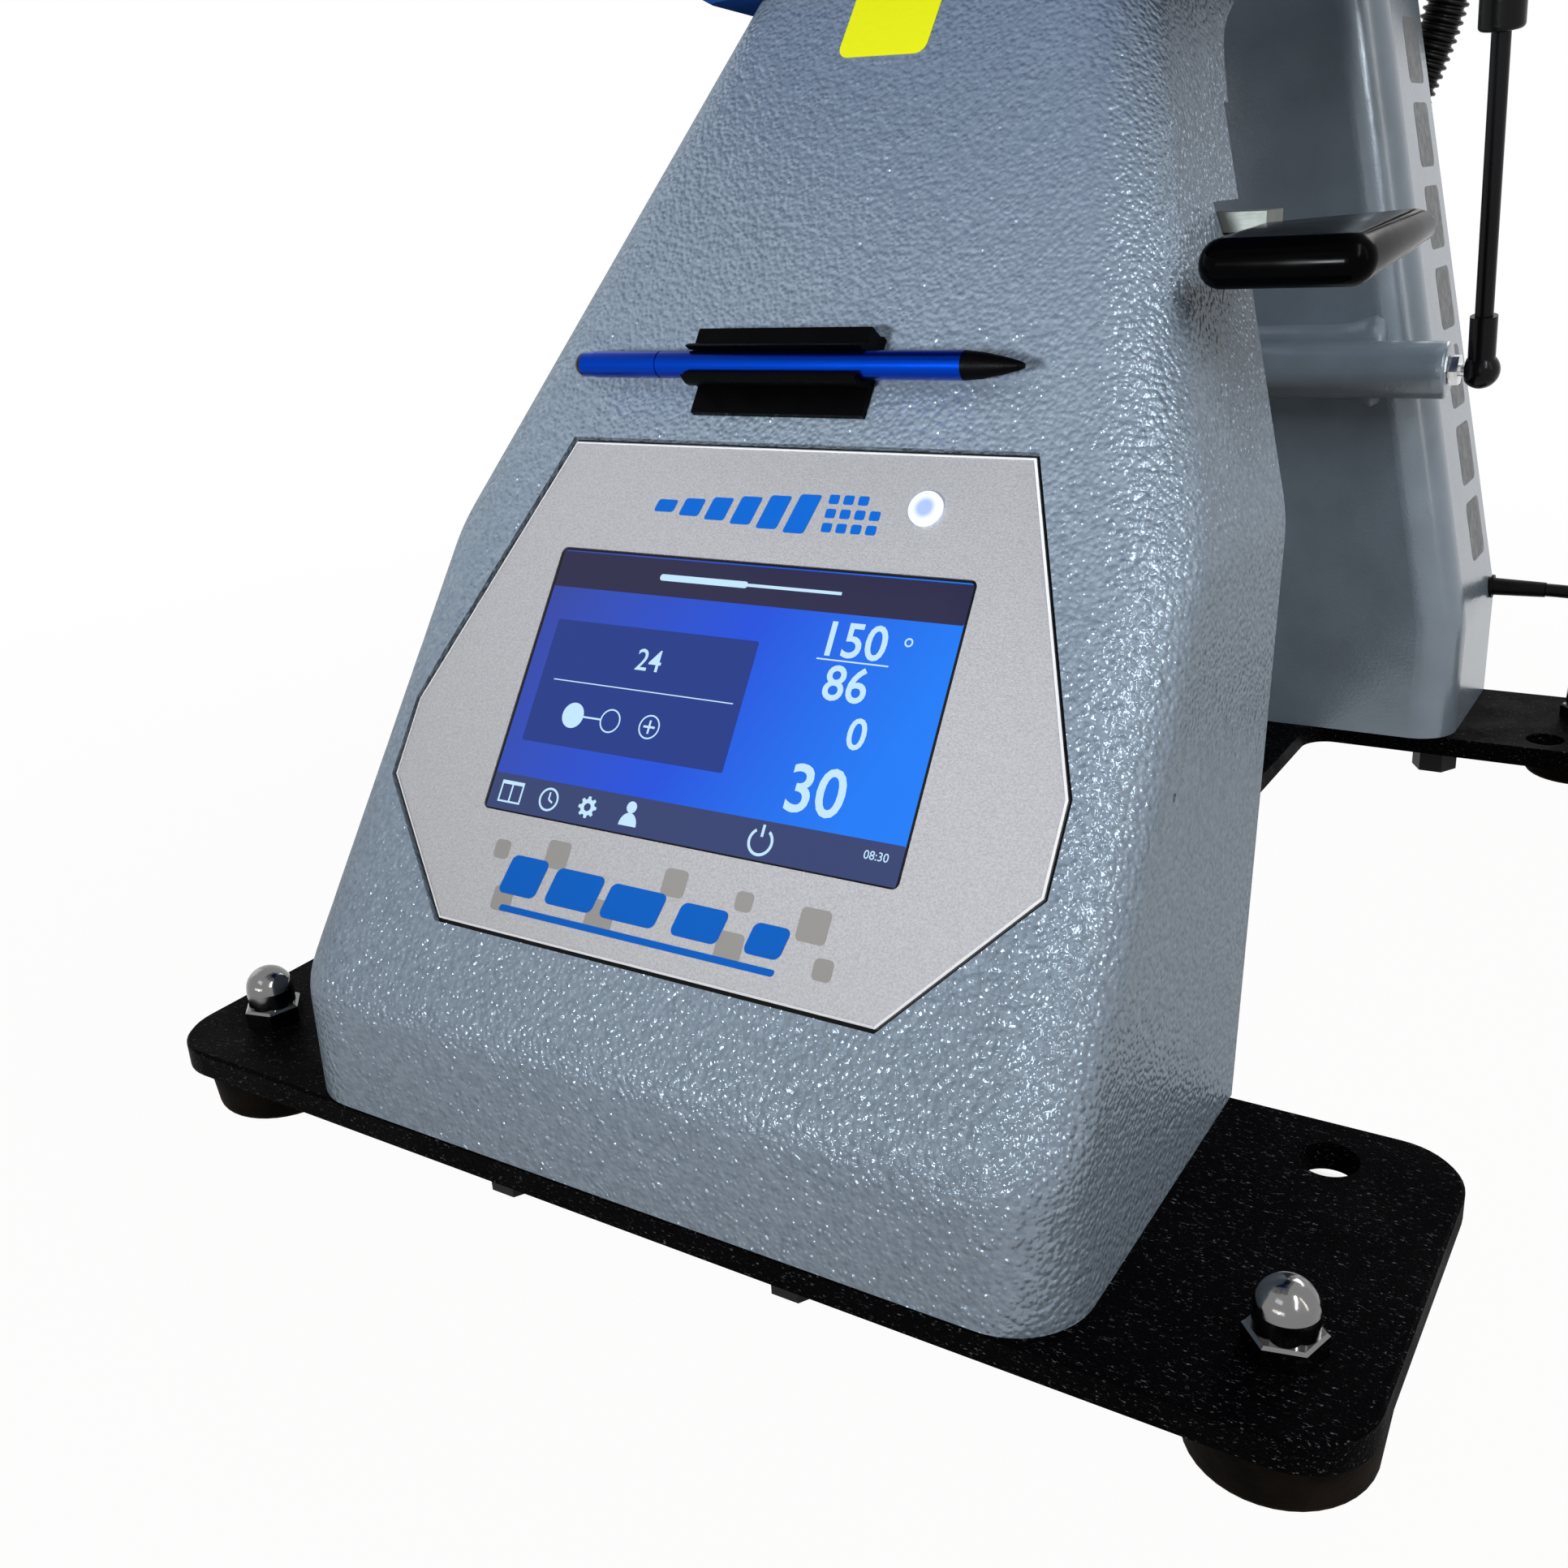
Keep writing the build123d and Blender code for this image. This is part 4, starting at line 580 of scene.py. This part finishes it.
gear_middle = (-0.0357, -0.0004)
gear_turn = np.arange(48) * 2 * np.pi / 48
gear_radius = 0.0031 + 0.0009 * np.clip(3.0 * np.cos(8 * gear_turn), -1, 1) / 2
gear_rim = gear_middle + gear_radius[:, None] * np.stack([np.cos(gear_turn), np.sin(gear_turn)], axis=-1)
person = (-0.0189, -0.0038)
person_turn = np.linspace(0, np.pi, 14)
shoulders = person + np.stack([0.0034 * np.cos(person_turn), 0.0042 * np.sin(person_turn)], axis=-1)
station_up = 0.0282
clock = (-0.0517, -0.0003)
signs = [
    # the card: a rule, then a filled station, an empty one and a plus in a ring
    line((-0.0644, 0.0394), (0.0069, 0.0394), 0.00035),
    slab(disc((-0.0522, station_up), 0.0043), sign_low, sign_high),
    line((-0.0479, station_up), (-0.0409, station_up), 0.0006),
    ring((-0.0369, station_up), 0.0035, 0.0040), ring((-0.0213, station_up), 0.0035, 0.0040),
    line((-0.0235, station_up), (-0.0191, station_up), 0.0007),
    line((-0.0213, 0.0260), (-0.0213, 0.0304), 0.0007),
    # the rule between the two upper figures, a degree sign, and the upper bar's thin line
    line((0.0315, 0.0569), (0.0559, 0.0569), 0.00045),
    ring((0.0605, 0.0648), 0.0009, 0.0014, steps=20),
    line((-0.034, 0.0778), (0.034, 0.0778), 0.0010),
    # along the lower bar: two pages, a clock, a gear, a person and a power sign
    *[line((x, -0.0036), (x, 0.0030), 0.0006) for x in (-0.0721, -0.0677, -0.0633)],
    line((-0.0724, 0.0028), (-0.0630, 0.0028), 0.0012), line((-0.0724, -0.0036), (-0.0630, -0.0036), 0.0006),
    ring(clock, 0.0032, 0.0039),
    line(clock, (-0.0517, 0.0021), 0.0006), line(clock, (-0.0500, -0.0012), 0.0006),
    slab(gear_rim, sign_low, sign_high),
    slab(shoulders, sign_low, sign_high), slab(disc((-0.0189, 0.0022), 0.0019), sign_low, sign_high),
    ring((0.0297, -0.0007), 0.0035, 0.0044, 125.0, 415.0), line((0.0297, 0.0008), (0.0297, 0.0045), 0.0009),
]
piece("screen_signs", *join(signs), pale_sign, "base", "screen", smooth=False)
gear_hub = slab(disc(gear_middle, 0.0013), sign_high, sign_high + layer)
piece("screen_gear_hub", *gear_hub, bar_slate, "base", "screen", smooth=False)
progress = slab(rounded((-0.017, 0.0778), (0.034, 0.0022), 0.0010), sign_high, sign_high + layer)
piece("screen_progress", *progress, pale_sign, "base", "screen", smooth=False)


def figures(name, body_text, middle, height, weight=0.012):
    """Plain figures on the screen: the outline of each figure, scaled to a height and laid on the panel."""
    curve = bpy.data.curves.new(name, "FONT")
    curve.body = body_text
    curve.offset = weight
    curve.resolution_u = 4
    writing = bpy.data.objects.new(name, curve)
    bpy.context.scene.collection.objects.link(writing)
    bpy.context.view_layer.update()
    flat = bpy.data.meshes.new_from_object(writing)
    bpy.data.objects.remove(writing)
    points = np.empty(len(flat.vertices) * 3)
    flat.vertices.foreach_get("co", points)
    points = points.reshape(-1, 3)[:, :2]
    low_corner, high_corner = points.min(axis=0), points.max(axis=0)
    points = (points - (low_corner + high_corner) / 2) * height / (high_corner - low_corner)[1] + np.array(middle)
    faces = [list(polygon.vertices) for polygon in flat.polygons]
    piece(name, on_panel(points[:, 0], points[:, 1], sign_high), faces, pale_sign, "base", "screen", smooth=False)


figures("figure_heat", "150", (0.0437, 0.0635), 0.0112)
figures("figure_now", "86", (0.0437, 0.0500), 0.0112)
figures("figure_force", "0", (0.0517, 0.0355), 0.0098)
figures("figure_time", "30", (0.0437, 0.0170), 0.0150)
figures("figure_clock", "08:30", (0.0680, 0.0015), 0.0026, 0.004)
figures("figure_station", "24", (-0.0287, 0.0497), 0.0072, 0.004)

# ------------------------------------------------------------------ panel lamp
# A round moulded lens, pressed into the plate above the screen. It shines cool white with a blue heart.
lamp_middle = on_panel(np.array(0.0548), np.array(0.1063), np.array(0.0))
lens_scale = 170          # the glow fades out 1 / 170 m from the middle
lamp_lens = finish("lamp_lens", (0.30, 0.34, 0.45), 0.18, Emission_Color=(0.45, 0.58, 1.0, 1),
                   Emission_Strength=0.75)
lens_nodes, lens_links, _ = parts_of(lamp_lens)
lens_place = lens_nodes.new("ShaderNodeTexCoord")
lens_shift = lens_nodes.new("ShaderNodeMapping")
glow = lens_nodes.new("ShaderNodeTexGradient")
glow.gradient_type = "SPHERICAL"
lens_shift.inputs["Scale"].default_value = (lens_scale, lens_scale, lens_scale)
lens_shift.inputs["Location"].default_value = tuple(-lens_scale * lamp_middle)
lens_links.new(lens_place.outputs["Object"], lens_shift.inputs["Vector"])
lens_links.new(lens_shift.outputs["Vector"], glow.inputs["Vector"])
vary(lamp_lens, "Emission Color", glow, "Fac", (0.80, 0.86, 1.0), (0.02, 0.10, 1.0), 0.30, 0.62)
dress(lamp_lens, "status_light")

# ------------------------------------------------------------------ blank label
# A yellow vinyl sticker with round corners, stuck a little askew high on the leaning face, with nothing
# on it.
label_yellow = finish("label_yellow", (0.74, 0.74, 0.006), 0.40, Specular_IOR_Level=0.2)
grained(label_yellow, 260.0, 0.0001)
label_middle = (-0.0052, 0.2835)
label_thick = 0.00025
label_turn = np.radians(-3.0)
label_axes = np.array([[np.cos(label_turn), np.sin(label_turn)], [-np.sin(label_turn), np.cos(label_turn)]])
label_outline = rounded((-0.001, 0), (0.034, 0.033), 0.004) @ label_axes
piece("blank_label", *slab(label_outline + label_middle, 0.0, label_thick), label_yellow, "base",
      "label_yellow", smooth=False)

# ------------------------------------------------------------------ stylus and clip
# A blue metallic pen with a black rubber end and cone lies in a moulded black clip, which is stuck to the
# leaning face above the plate.
pen_colour, end_black = (0.001, 0.036, 0.36), (0.008, 0.008, 0.009)
end_joint = -0.08295      # where the black end meets the blue barrel
pen_blue = finish("pen_blue", pen_colour, 0.26, 0.40, Specular_IOR_Level=0.1)
grained(pen_blue, 1500.0, 0.00003, stretch=(0.1, 1, 1))
end_nodes, end_links, end_shader = parts_of(pen_blue)
end_place = end_nodes.new("ShaderNodeTexCoord")
end_axis = end_nodes.new("ShaderNodeSeparateXYZ")
end_ramp = end_nodes.new("ShaderNodeMapRange")
end_colour = end_nodes.new("ShaderNodeMix")
end_colour.data_type = "RGBA"
end_ramp.inputs["From Min"].default_value = end_joint - 0.00005
end_ramp.inputs["From Max"].default_value = end_joint
end_colour.inputs["A"].default_value = (*end_black, 1)
end_colour.inputs["B"].default_value = (*pen_colour, 1)
end_links.new(end_place.outputs["Object"], end_axis.inputs["Vector"])
end_links.new(end_axis.outputs["X"], end_ramp.inputs["Value"])
end_links.new(end_ramp.outputs["Result"], end_colour.inputs["Factor"])
end_links.new(end_colour.outputs["Result"], end_shader.inputs["Base Color"])
end_links.new(end_ramp.outputs["Result"], end_shader.inputs["Metallic"])
black_plastic = finish("black_plastic", (0.0008, 0.0008, 0.0010), 0.40, Specular_IOR_Level=0.03)
grained(black_plastic, 900.0, 0.00008, Detail=2.0)
uneven(black_plastic, "Roughness", 90.0, 0.30, 0.46)
dress(pen_blue, "stylus_barrel")
dress(black_plastic, "stylus_tip", "stylus_clip", "switch_bezel", "pressure_knob", "conduit_gland_lower",
      "conduit_gland_upper")

# ------------------------------------------------------------------ platen support and lower platen
# A welded blue enamelled yoke is bolted to the column's top and carries two steel rails. The lower platen, a
# bare aluminium plate under a grey foam pad, draws out on them to the front.
bright_steel = finish("bright_steel", (0.66, 0.66, 0.67), 0.24, 1.0)
grained(bright_steel, 1200.0, 0.00006, stretch=(1, 0.08, 1))
uneven(bright_steel, "Roughness", 80.0, 0.18, 0.34, Detail=3.0)
platen_metal = finish("platen_metal", (0.60, 0.61, 0.62), 0.38, 1.0)
grained(platen_metal, 900.0, 0.00006, stretch=(0.06, 1, 1))
uneven(platen_metal, "Roughness", 40.0, 0.30, 0.46, Detail=3.0)
pad_foam = finish("pad_foam", (0.040, 0.040, 0.042), 0.72)
grained(pad_foam, 1100.0, 0.0003, Detail=3.0)
uneven(pad_foam, "Base Color", 30.0, (0.037, 0.037, 0.039), (0.046, 0.046, 0.049), Detail=4.0)
yoke_enamel = finish("yoke_enamel", (0.020, 0.080, 0.34), 0.40, Specular_IOR_Level=0.0)
grained(yoke_enamel, 320.0, 0.0001, Detail=2.0)
uneven(yoke_enamel, "Roughness", 30.0, 0.34, 0.48, Detail=3.0)
dress(yoke_enamel, "platen_yoke")
dress(bright_steel, "slide_rails", "lock_pin", "lower_ball_studs", "upper_ball_stud_left",
      "upper_ball_stud_right", "pivot_shaft", "pressure_spindle")
dress(platen_metal, "lower_platen")
dress(pad_foam, "lower_pad")

# ------------------------------------------------------------------ lever grip
# Thick glossy black vinyl, dipped over the end of the flat lever: a round-edged wedge that is cut
# obliquely at the back. The lever itself is plain rolled steel, its colour darkened to paint the shade it lies
# in.
# Painted shade: a far darker steel colour than the bright steel, standing in for the shade on the lever.
lever_steel_painted_shade = finish("lever_steel_painted_shade", (0.11, 0.12, 0.11), 0.48, 0.6)
grained(lever_steel_painted_shade, 900.0, 0.00005, stretch=(0.1, 1, 1))
uneven(lever_steel_painted_shade, "Roughness", 90.0, 0.42, 0.56)
dress(lever_steel_painted_shade, "release_lever")
vinyl = finish("vinyl", (0.0005, 0.0005, 0.0006), 0.11, Specular_IOR_Level=0.02)
grained(vinyl, 70.0, 0.0003, 0.4, Detail=1.0)
uneven(vinyl, "Roughness", 50.0, 0.10, 0.20, Detail=2.0)
dress(vinyl, "handle_grip")


grip_ends = (0.150, 0.236)
blunt = 0.12              # share of the rim's radius that the flat faces keep


def pillow(corners, radius, bottom, top, steps=8, layers=16):
    """A solid with a fully round rim: the convex plan of corners (x, y), drawn in by rim_reach at the height
    sin t between the bottom and the top, which are each given at the grip's back and front."""
    corners = np.array(corners)
    step, normal, before = mitre(corners)
    centres = corners - radius * step
    first = np.arctan2(before[:, 1], before[:, 0])
    sweep = (np.arctan2(normal[:, 1], normal[:, 0]) - first) % (2 * np.pi)
    turn = first[:, None] + sweep[:, None] * np.linspace(0, 1, steps)
    arc = np.stack([np.cos(turn), np.sin(turn)], axis=-1)
    tilt = np.linspace(-np.pi / 2, np.pi / 2, layers + 1)
    rim_reach = radius * (blunt + (1 - blunt) * np.cos(tilt))
    plan = (centres[:, None] + rim_reach[:, None, None, None] * arc).reshape(layers + 1, -1, 2)
    share = (plan[..., 1] - grip_ends[0]) / (grip_ends[1] - grip_ends[0])
    low = bottom[0] + (bottom[1] - bottom[0]) * share
    high = top[0] + (top[1] - top[0]) * share
    height = (low + high) / 2 + (high - low) / 2 * np.sin(tilt)[:, None]
    return skin(np.concatenate([plan, height[..., None]], axis=-1) + (0, front, deck))


grip_plan = [(0.1188, 0.1500), (0.1680, 0.1500), (0.1680, 0.2345), (0.1580, 0.2345), (0.1270, 0.2120),
             (0.1188, 0.2040)]
grip = piece("grip_moulding", *pillow(grip_plan, 0.0074, (0.2499, 0.2574), (0.2642, 0.2678)), vinyl, "lever",
             "black_vinyl")
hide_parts("lever_grip")

# ------------------------------------------------------------------ rear column
# The same folded sheet with a smoother satin coat. A flat cover with vent slots, a mains switch and six
# pan-head screws closes its back; a round tube across its front carries the gas struts.
satin_coat = finish("satin_coat", (0.190, 0.240, 0.295), 0.24, 0.20, Coat_Weight=0.2, Coat_Roughness=0.12)
grained(satin_coat, 700.0, 0.00010, Detail=3.0)
uneven(satin_coat, "Base Color", 45.0, (0.178, 0.224, 0.276), (0.202, 0.254, 0.312), Detail=4.0)
dress(satin_coat, "rear_column", "rear_cover", "pivot_head")
bronze = finish("bronze", (0.50, 0.33, 0.15), 0.34, 1.0)
grained(bronze, 900.0, 0.00004)
uneven(bronze, "Roughness", 80.0, 0.28, 0.42)
dress(bronze, "pivot_bushes", "spindle_nut")
switch_red = finish("switch_red", (0.42, 0.012, 0.010), 0.22)
grained(switch_red, 600.0, 0.00004)
uneven(switch_red, "Roughness", 60.0, 0.18, 0.28)
dress(switch_red, "power_rocker")


def lathe(profile, foot, axis, steps=24):
    """A turned shape: (radius, height) pairs carried round the axis through foot."""
    axis = np.array(axis, float)
    side = np.cross(axis, np.roll(axis, 1))
    side /= np.linalg.norm(side)
    other = np.cross(axis, side)
    radius, height = np.array(profile).T
    turn = np.arange(steps) * 2 * np.pi / steps
    circle = np.cos(turn)[:, None] * side + np.sin(turn)[:, None] * other
    return skin(np.array(foot) + height[:, None, None] * axis + radius[:, None, None] * circle)


screw_head = [(0.0040, 0.0), (0.0040, 0.0007), (0.0036, 0.0016), (0.0026, 0.0021), (0.0012, 0.0022),
              (0.0010, 0.0012)]
rear_face = front + 0.608
cover_edge = {0.032: 0.125, 0.180: 0.0996, 0.330: 0.0684}     # height: distance across from the middle
screws = [lathe(screw_head, (side * across, rear_face, deck + height), (0, 1, 0))
          for height, across in cover_edge.items() for side in (-1, 1)]
piece("cover_screws", *join(screws), zinc, "base", "zinc_steel")

flank_across, flank_lean, flank_foot = 0.138, 0.20795, 0.058


def on_flank(back, up, out):
    """Points of the rear column's right flank, which leans in by flank_lean per unit of height."""
    back, up, out = np.broadcast_arrays(back, up, out)
    return np.stack([flank_across - flank_lean * (up - flank_foot) + out, front + back, deck + up], axis=-1)


# A row of plain dark grey blocks is printed up the right flank.
flank_grey = finish("flank_grey", (0.090, 0.098, 0.105), 0.40, Specular_IOR_Level=0.2)
grained(flank_grey, 900.0, 0.00003)
uneven(flank_grey, "Roughness", 200.0, 0.34, 0.48)
flank_middle, block_side, block_corner = 0.5795, 0.030, 0.004
flank_blocks = [slab(rounded((flank_middle, height), (block_side, block_side), block_corner), 0.00002, 0.00010,
                     on_flank) for height in np.linspace(0.096, 0.330, 7)]
piece("flank_print", *join(flank_blocks), flank_grey, "base", "print_grey", smooth=False)

# The strut tube: a plain round tube whose rims are broken, welded to the column by a concave seam above
# and below it that swells into a bead at both ends.
tube_depth, tube_height = 0.497, 0.187
tube_foot = np.array([0.0, front + tube_depth, deck + tube_height])
tube_profile = [(0.0118, -0.1258), (0.0129, -0.1254), (0.01325, -0.1243), (0.01325, -0.1200),
                (0.01325, 0.1200), (0.01325, 0.1243), (0.0129, 0.1254), (0.0118, 0.1258)]
tube = lathe(tube_profile, tube_foot, (1, 0, 0), steps=48)
seam_x = np.array([-0.0925, -0.0905, -0.087, -0.082, -0.076, -0.068, 0.068, 0.076, 0.082, 0.087, 0.0905, 0.0925])
seam_bead = np.array([-0.6, 0.5, 1.0, 0.7, 0.2, 0.0, 0.0, 0.2, 0.7, 1.0, 0.5, -0.6])
upper_seam = np.array([(0.499, 0.0120), (0.504, 0.0120), (0.508, 0.0126), (0.5115, 0.0139), (0.5145, 0.0160),
                       (0.5168, 0.0190), (0.5185, 0.0195)])
lower_share = 0.92        # the lower seam is a little flatter than the upper one
seam_outline = np.concatenate([upper_seam, upper_seam[::-1] * (1, -lower_share)])
bead_rise, bead_start, bead_deep = 0.0042, 0.501, 0.015
seam_swell = bead_rise * np.clip((seam_outline[:, 0] - bead_start) / bead_deep, 0, 1)
seam_height = seam_outline[:, 1] + seam_bead[:, None] * seam_swell * np.sign(seam_outline[:, 1])
seam = skin(np.stack(np.broadcast_arrays(
    seam_x[::-1, None], front + seam_outline[:, 0], deck + tube_height + seam_height[::-1]), axis=-1))
tube_piece = piece("strut_tube_welded", *join([tube, seam]), satin_coat, "base", "column_grey")
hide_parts("strut_cross_tube")

# ------------------------------------------------------------------ gas struts
# Black gas springs between the rear column's tube and the arm's: a dark polished rod and a gloss black
# cylinder, with ball sockets at both ends.
rod_black = finish("rod_black", (0.004, 0.004, 0.005), 0.20, Specular_IOR_Level=0.12)
grained(rod_black, 900.0, 0.00003)
cylinder_black = finish("cylinder_black", (0.003, 0.003, 0.003), 0.24, Specular_IOR_Level=0.12)
grained(cylinder_black, 500.0, 0.00005)
dress(rod_black, "strut_rod_left", "strut_rod_right")
dress(cylinder_black, "strut_cylinder_left", "strut_cylinder_right")

# ------------------------------------------------------------------ heat platen
# The heated plate is cast aluminium under a grey non-stick coat. A hollow sheet cover in glossy blue enamel
# closes it above.
stick_free = finish("stick_free", (0.055, 0.055, 0.060), 0.46, 0.2)
grained(stick_free, 1400.0, 0.00006, Detail=3.0)
uneven(stick_free, "Roughness", 25.0, 0.45, 0.50, Detail=4.0)
dress(stick_free, "heat_platen")
blue_enamel = finish("blue_enamel", (0.004, 0.040, 0.33), 0.24, Specular_IOR_Level=0.25, Coat_Weight=0.1,
                     Coat_Roughness=0.10)
grained(blue_enamel, 320.0, 0.0001, Detail=2.0)
uneven(blue_enamel, "Roughness", 30.0, 0.24, 0.29, Detail=3.0)
dress(blue_enamel, "platen_cover")

# ------------------------------------------------------------------ conduit
# Corrugated black nylon hose, 22 mm over its rings, that carries the wiring from the column to the head.
# Its line is a smooth spline through the route's points.
hinge_depth, hinge_height, head_angle = 0.560, 0.500, np.radians(-40.0)


def head_open(across, depth, height):
    """A point given with the head closed, turned up by the head's angle about the hinge."""
    away, above = depth - hinge_depth, height - hinge_height
    return (across, hinge_depth + away * np.cos(head_angle) - above * np.sin(head_angle),
            hinge_height + away * np.sin(head_angle) + above * np.cos(head_angle))


hose_route = np.array([
    (0.020, 0.632, 0.172), (0.020, 0.632, 0.198), (0.059, 0.637, 0.282), (0.0865, 0.640, 0.356),
    (0.093, 0.637, 0.425), (0.086, 0.622, 0.478), head_open(0.074, 0.592, 0.524), head_open(0.074, 0.554, 0.524)])
hose_places = np.column_stack([hose_route + (0, front, deck), np.ones(len(hose_route))])
hose_curve = bpy.data.curves.new("hose_line", "CURVE")
hose_curve.dimensions = "3D"
hose_line = hose_curve.splines.new("NURBS")
hose_line.points.add(len(hose_route) - 1)
hose_line.points.foreach_set("co", hose_places.ravel())
hose_line.order_u = 3
hose_line.use_endpoint_u = True
hose_line.resolution_u = 24
hose_object = bpy.data.objects.new("hose_line", hose_curve)
bpy.context.scene.collection.objects.link(hose_object)
bpy.context.view_layer.update()
hose_mesh = bpy.data.meshes.new_from_object(hose_object)
bpy.data.objects.remove(hose_object)
path = np.empty(len(hose_mesh.vertices) * 3)
hose_mesh.vertices.foreach_get("co", path)
path = path.reshape(-1, 3)
along = np.concatenate([[0], np.cumsum(np.linalg.norm(np.diff(path, axis=0), axis=1))])
ring_pitch, per_ring, around = 0.0042, 8, 28
mean_radius, ring_rise, ring_square = 0.0100, 0.0010, 2.2
stations = np.linspace(0, along[-1], int(along[-1] / ring_pitch) * per_ring + 1)
centre_line = np.stack([np.interp(stations, along, path[:, k]) for k in range(3)], axis=-1)
heading = np.gradient(centre_line, axis=0)
heading /= np.linalg.norm(heading, axis=1, keepdims=True)
sideways = np.array([1.0, 0, 0]) - heading[:, :1] * heading
sideways /= np.linalg.norm(sideways, axis=1, keepdims=True)
upwards = np.cross(heading, sideways)

# The radius follows a wave along the hose, flattened at its crests and troughs into square rings.
wave = np.tanh(ring_square * np.sin(2 * np.pi * stations / ring_pitch)) / np.tanh(ring_square)
turn = np.arange(around)[:, None] * 2 * np.pi / around
outwards = np.cos(turn) * sideways[:, None] + np.sin(turn) * upwards[:, None]
hose_rows = centre_line[:, None] + (mean_radius + ring_rise * wave)[:, None, None] * outwards
hose_black = finish("hose_black", (0.003, 0.003, 0.003), 0.36, Specular_IOR_Level=0.12)
grained(hose_black, 500.0, 0.00006)
uneven(hose_black, "Roughness", 70.0, 0.28, 0.42)
hose = solid("conduit_hose", *skin(hose_rows), hose_black)
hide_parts("conduit")
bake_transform(hose)
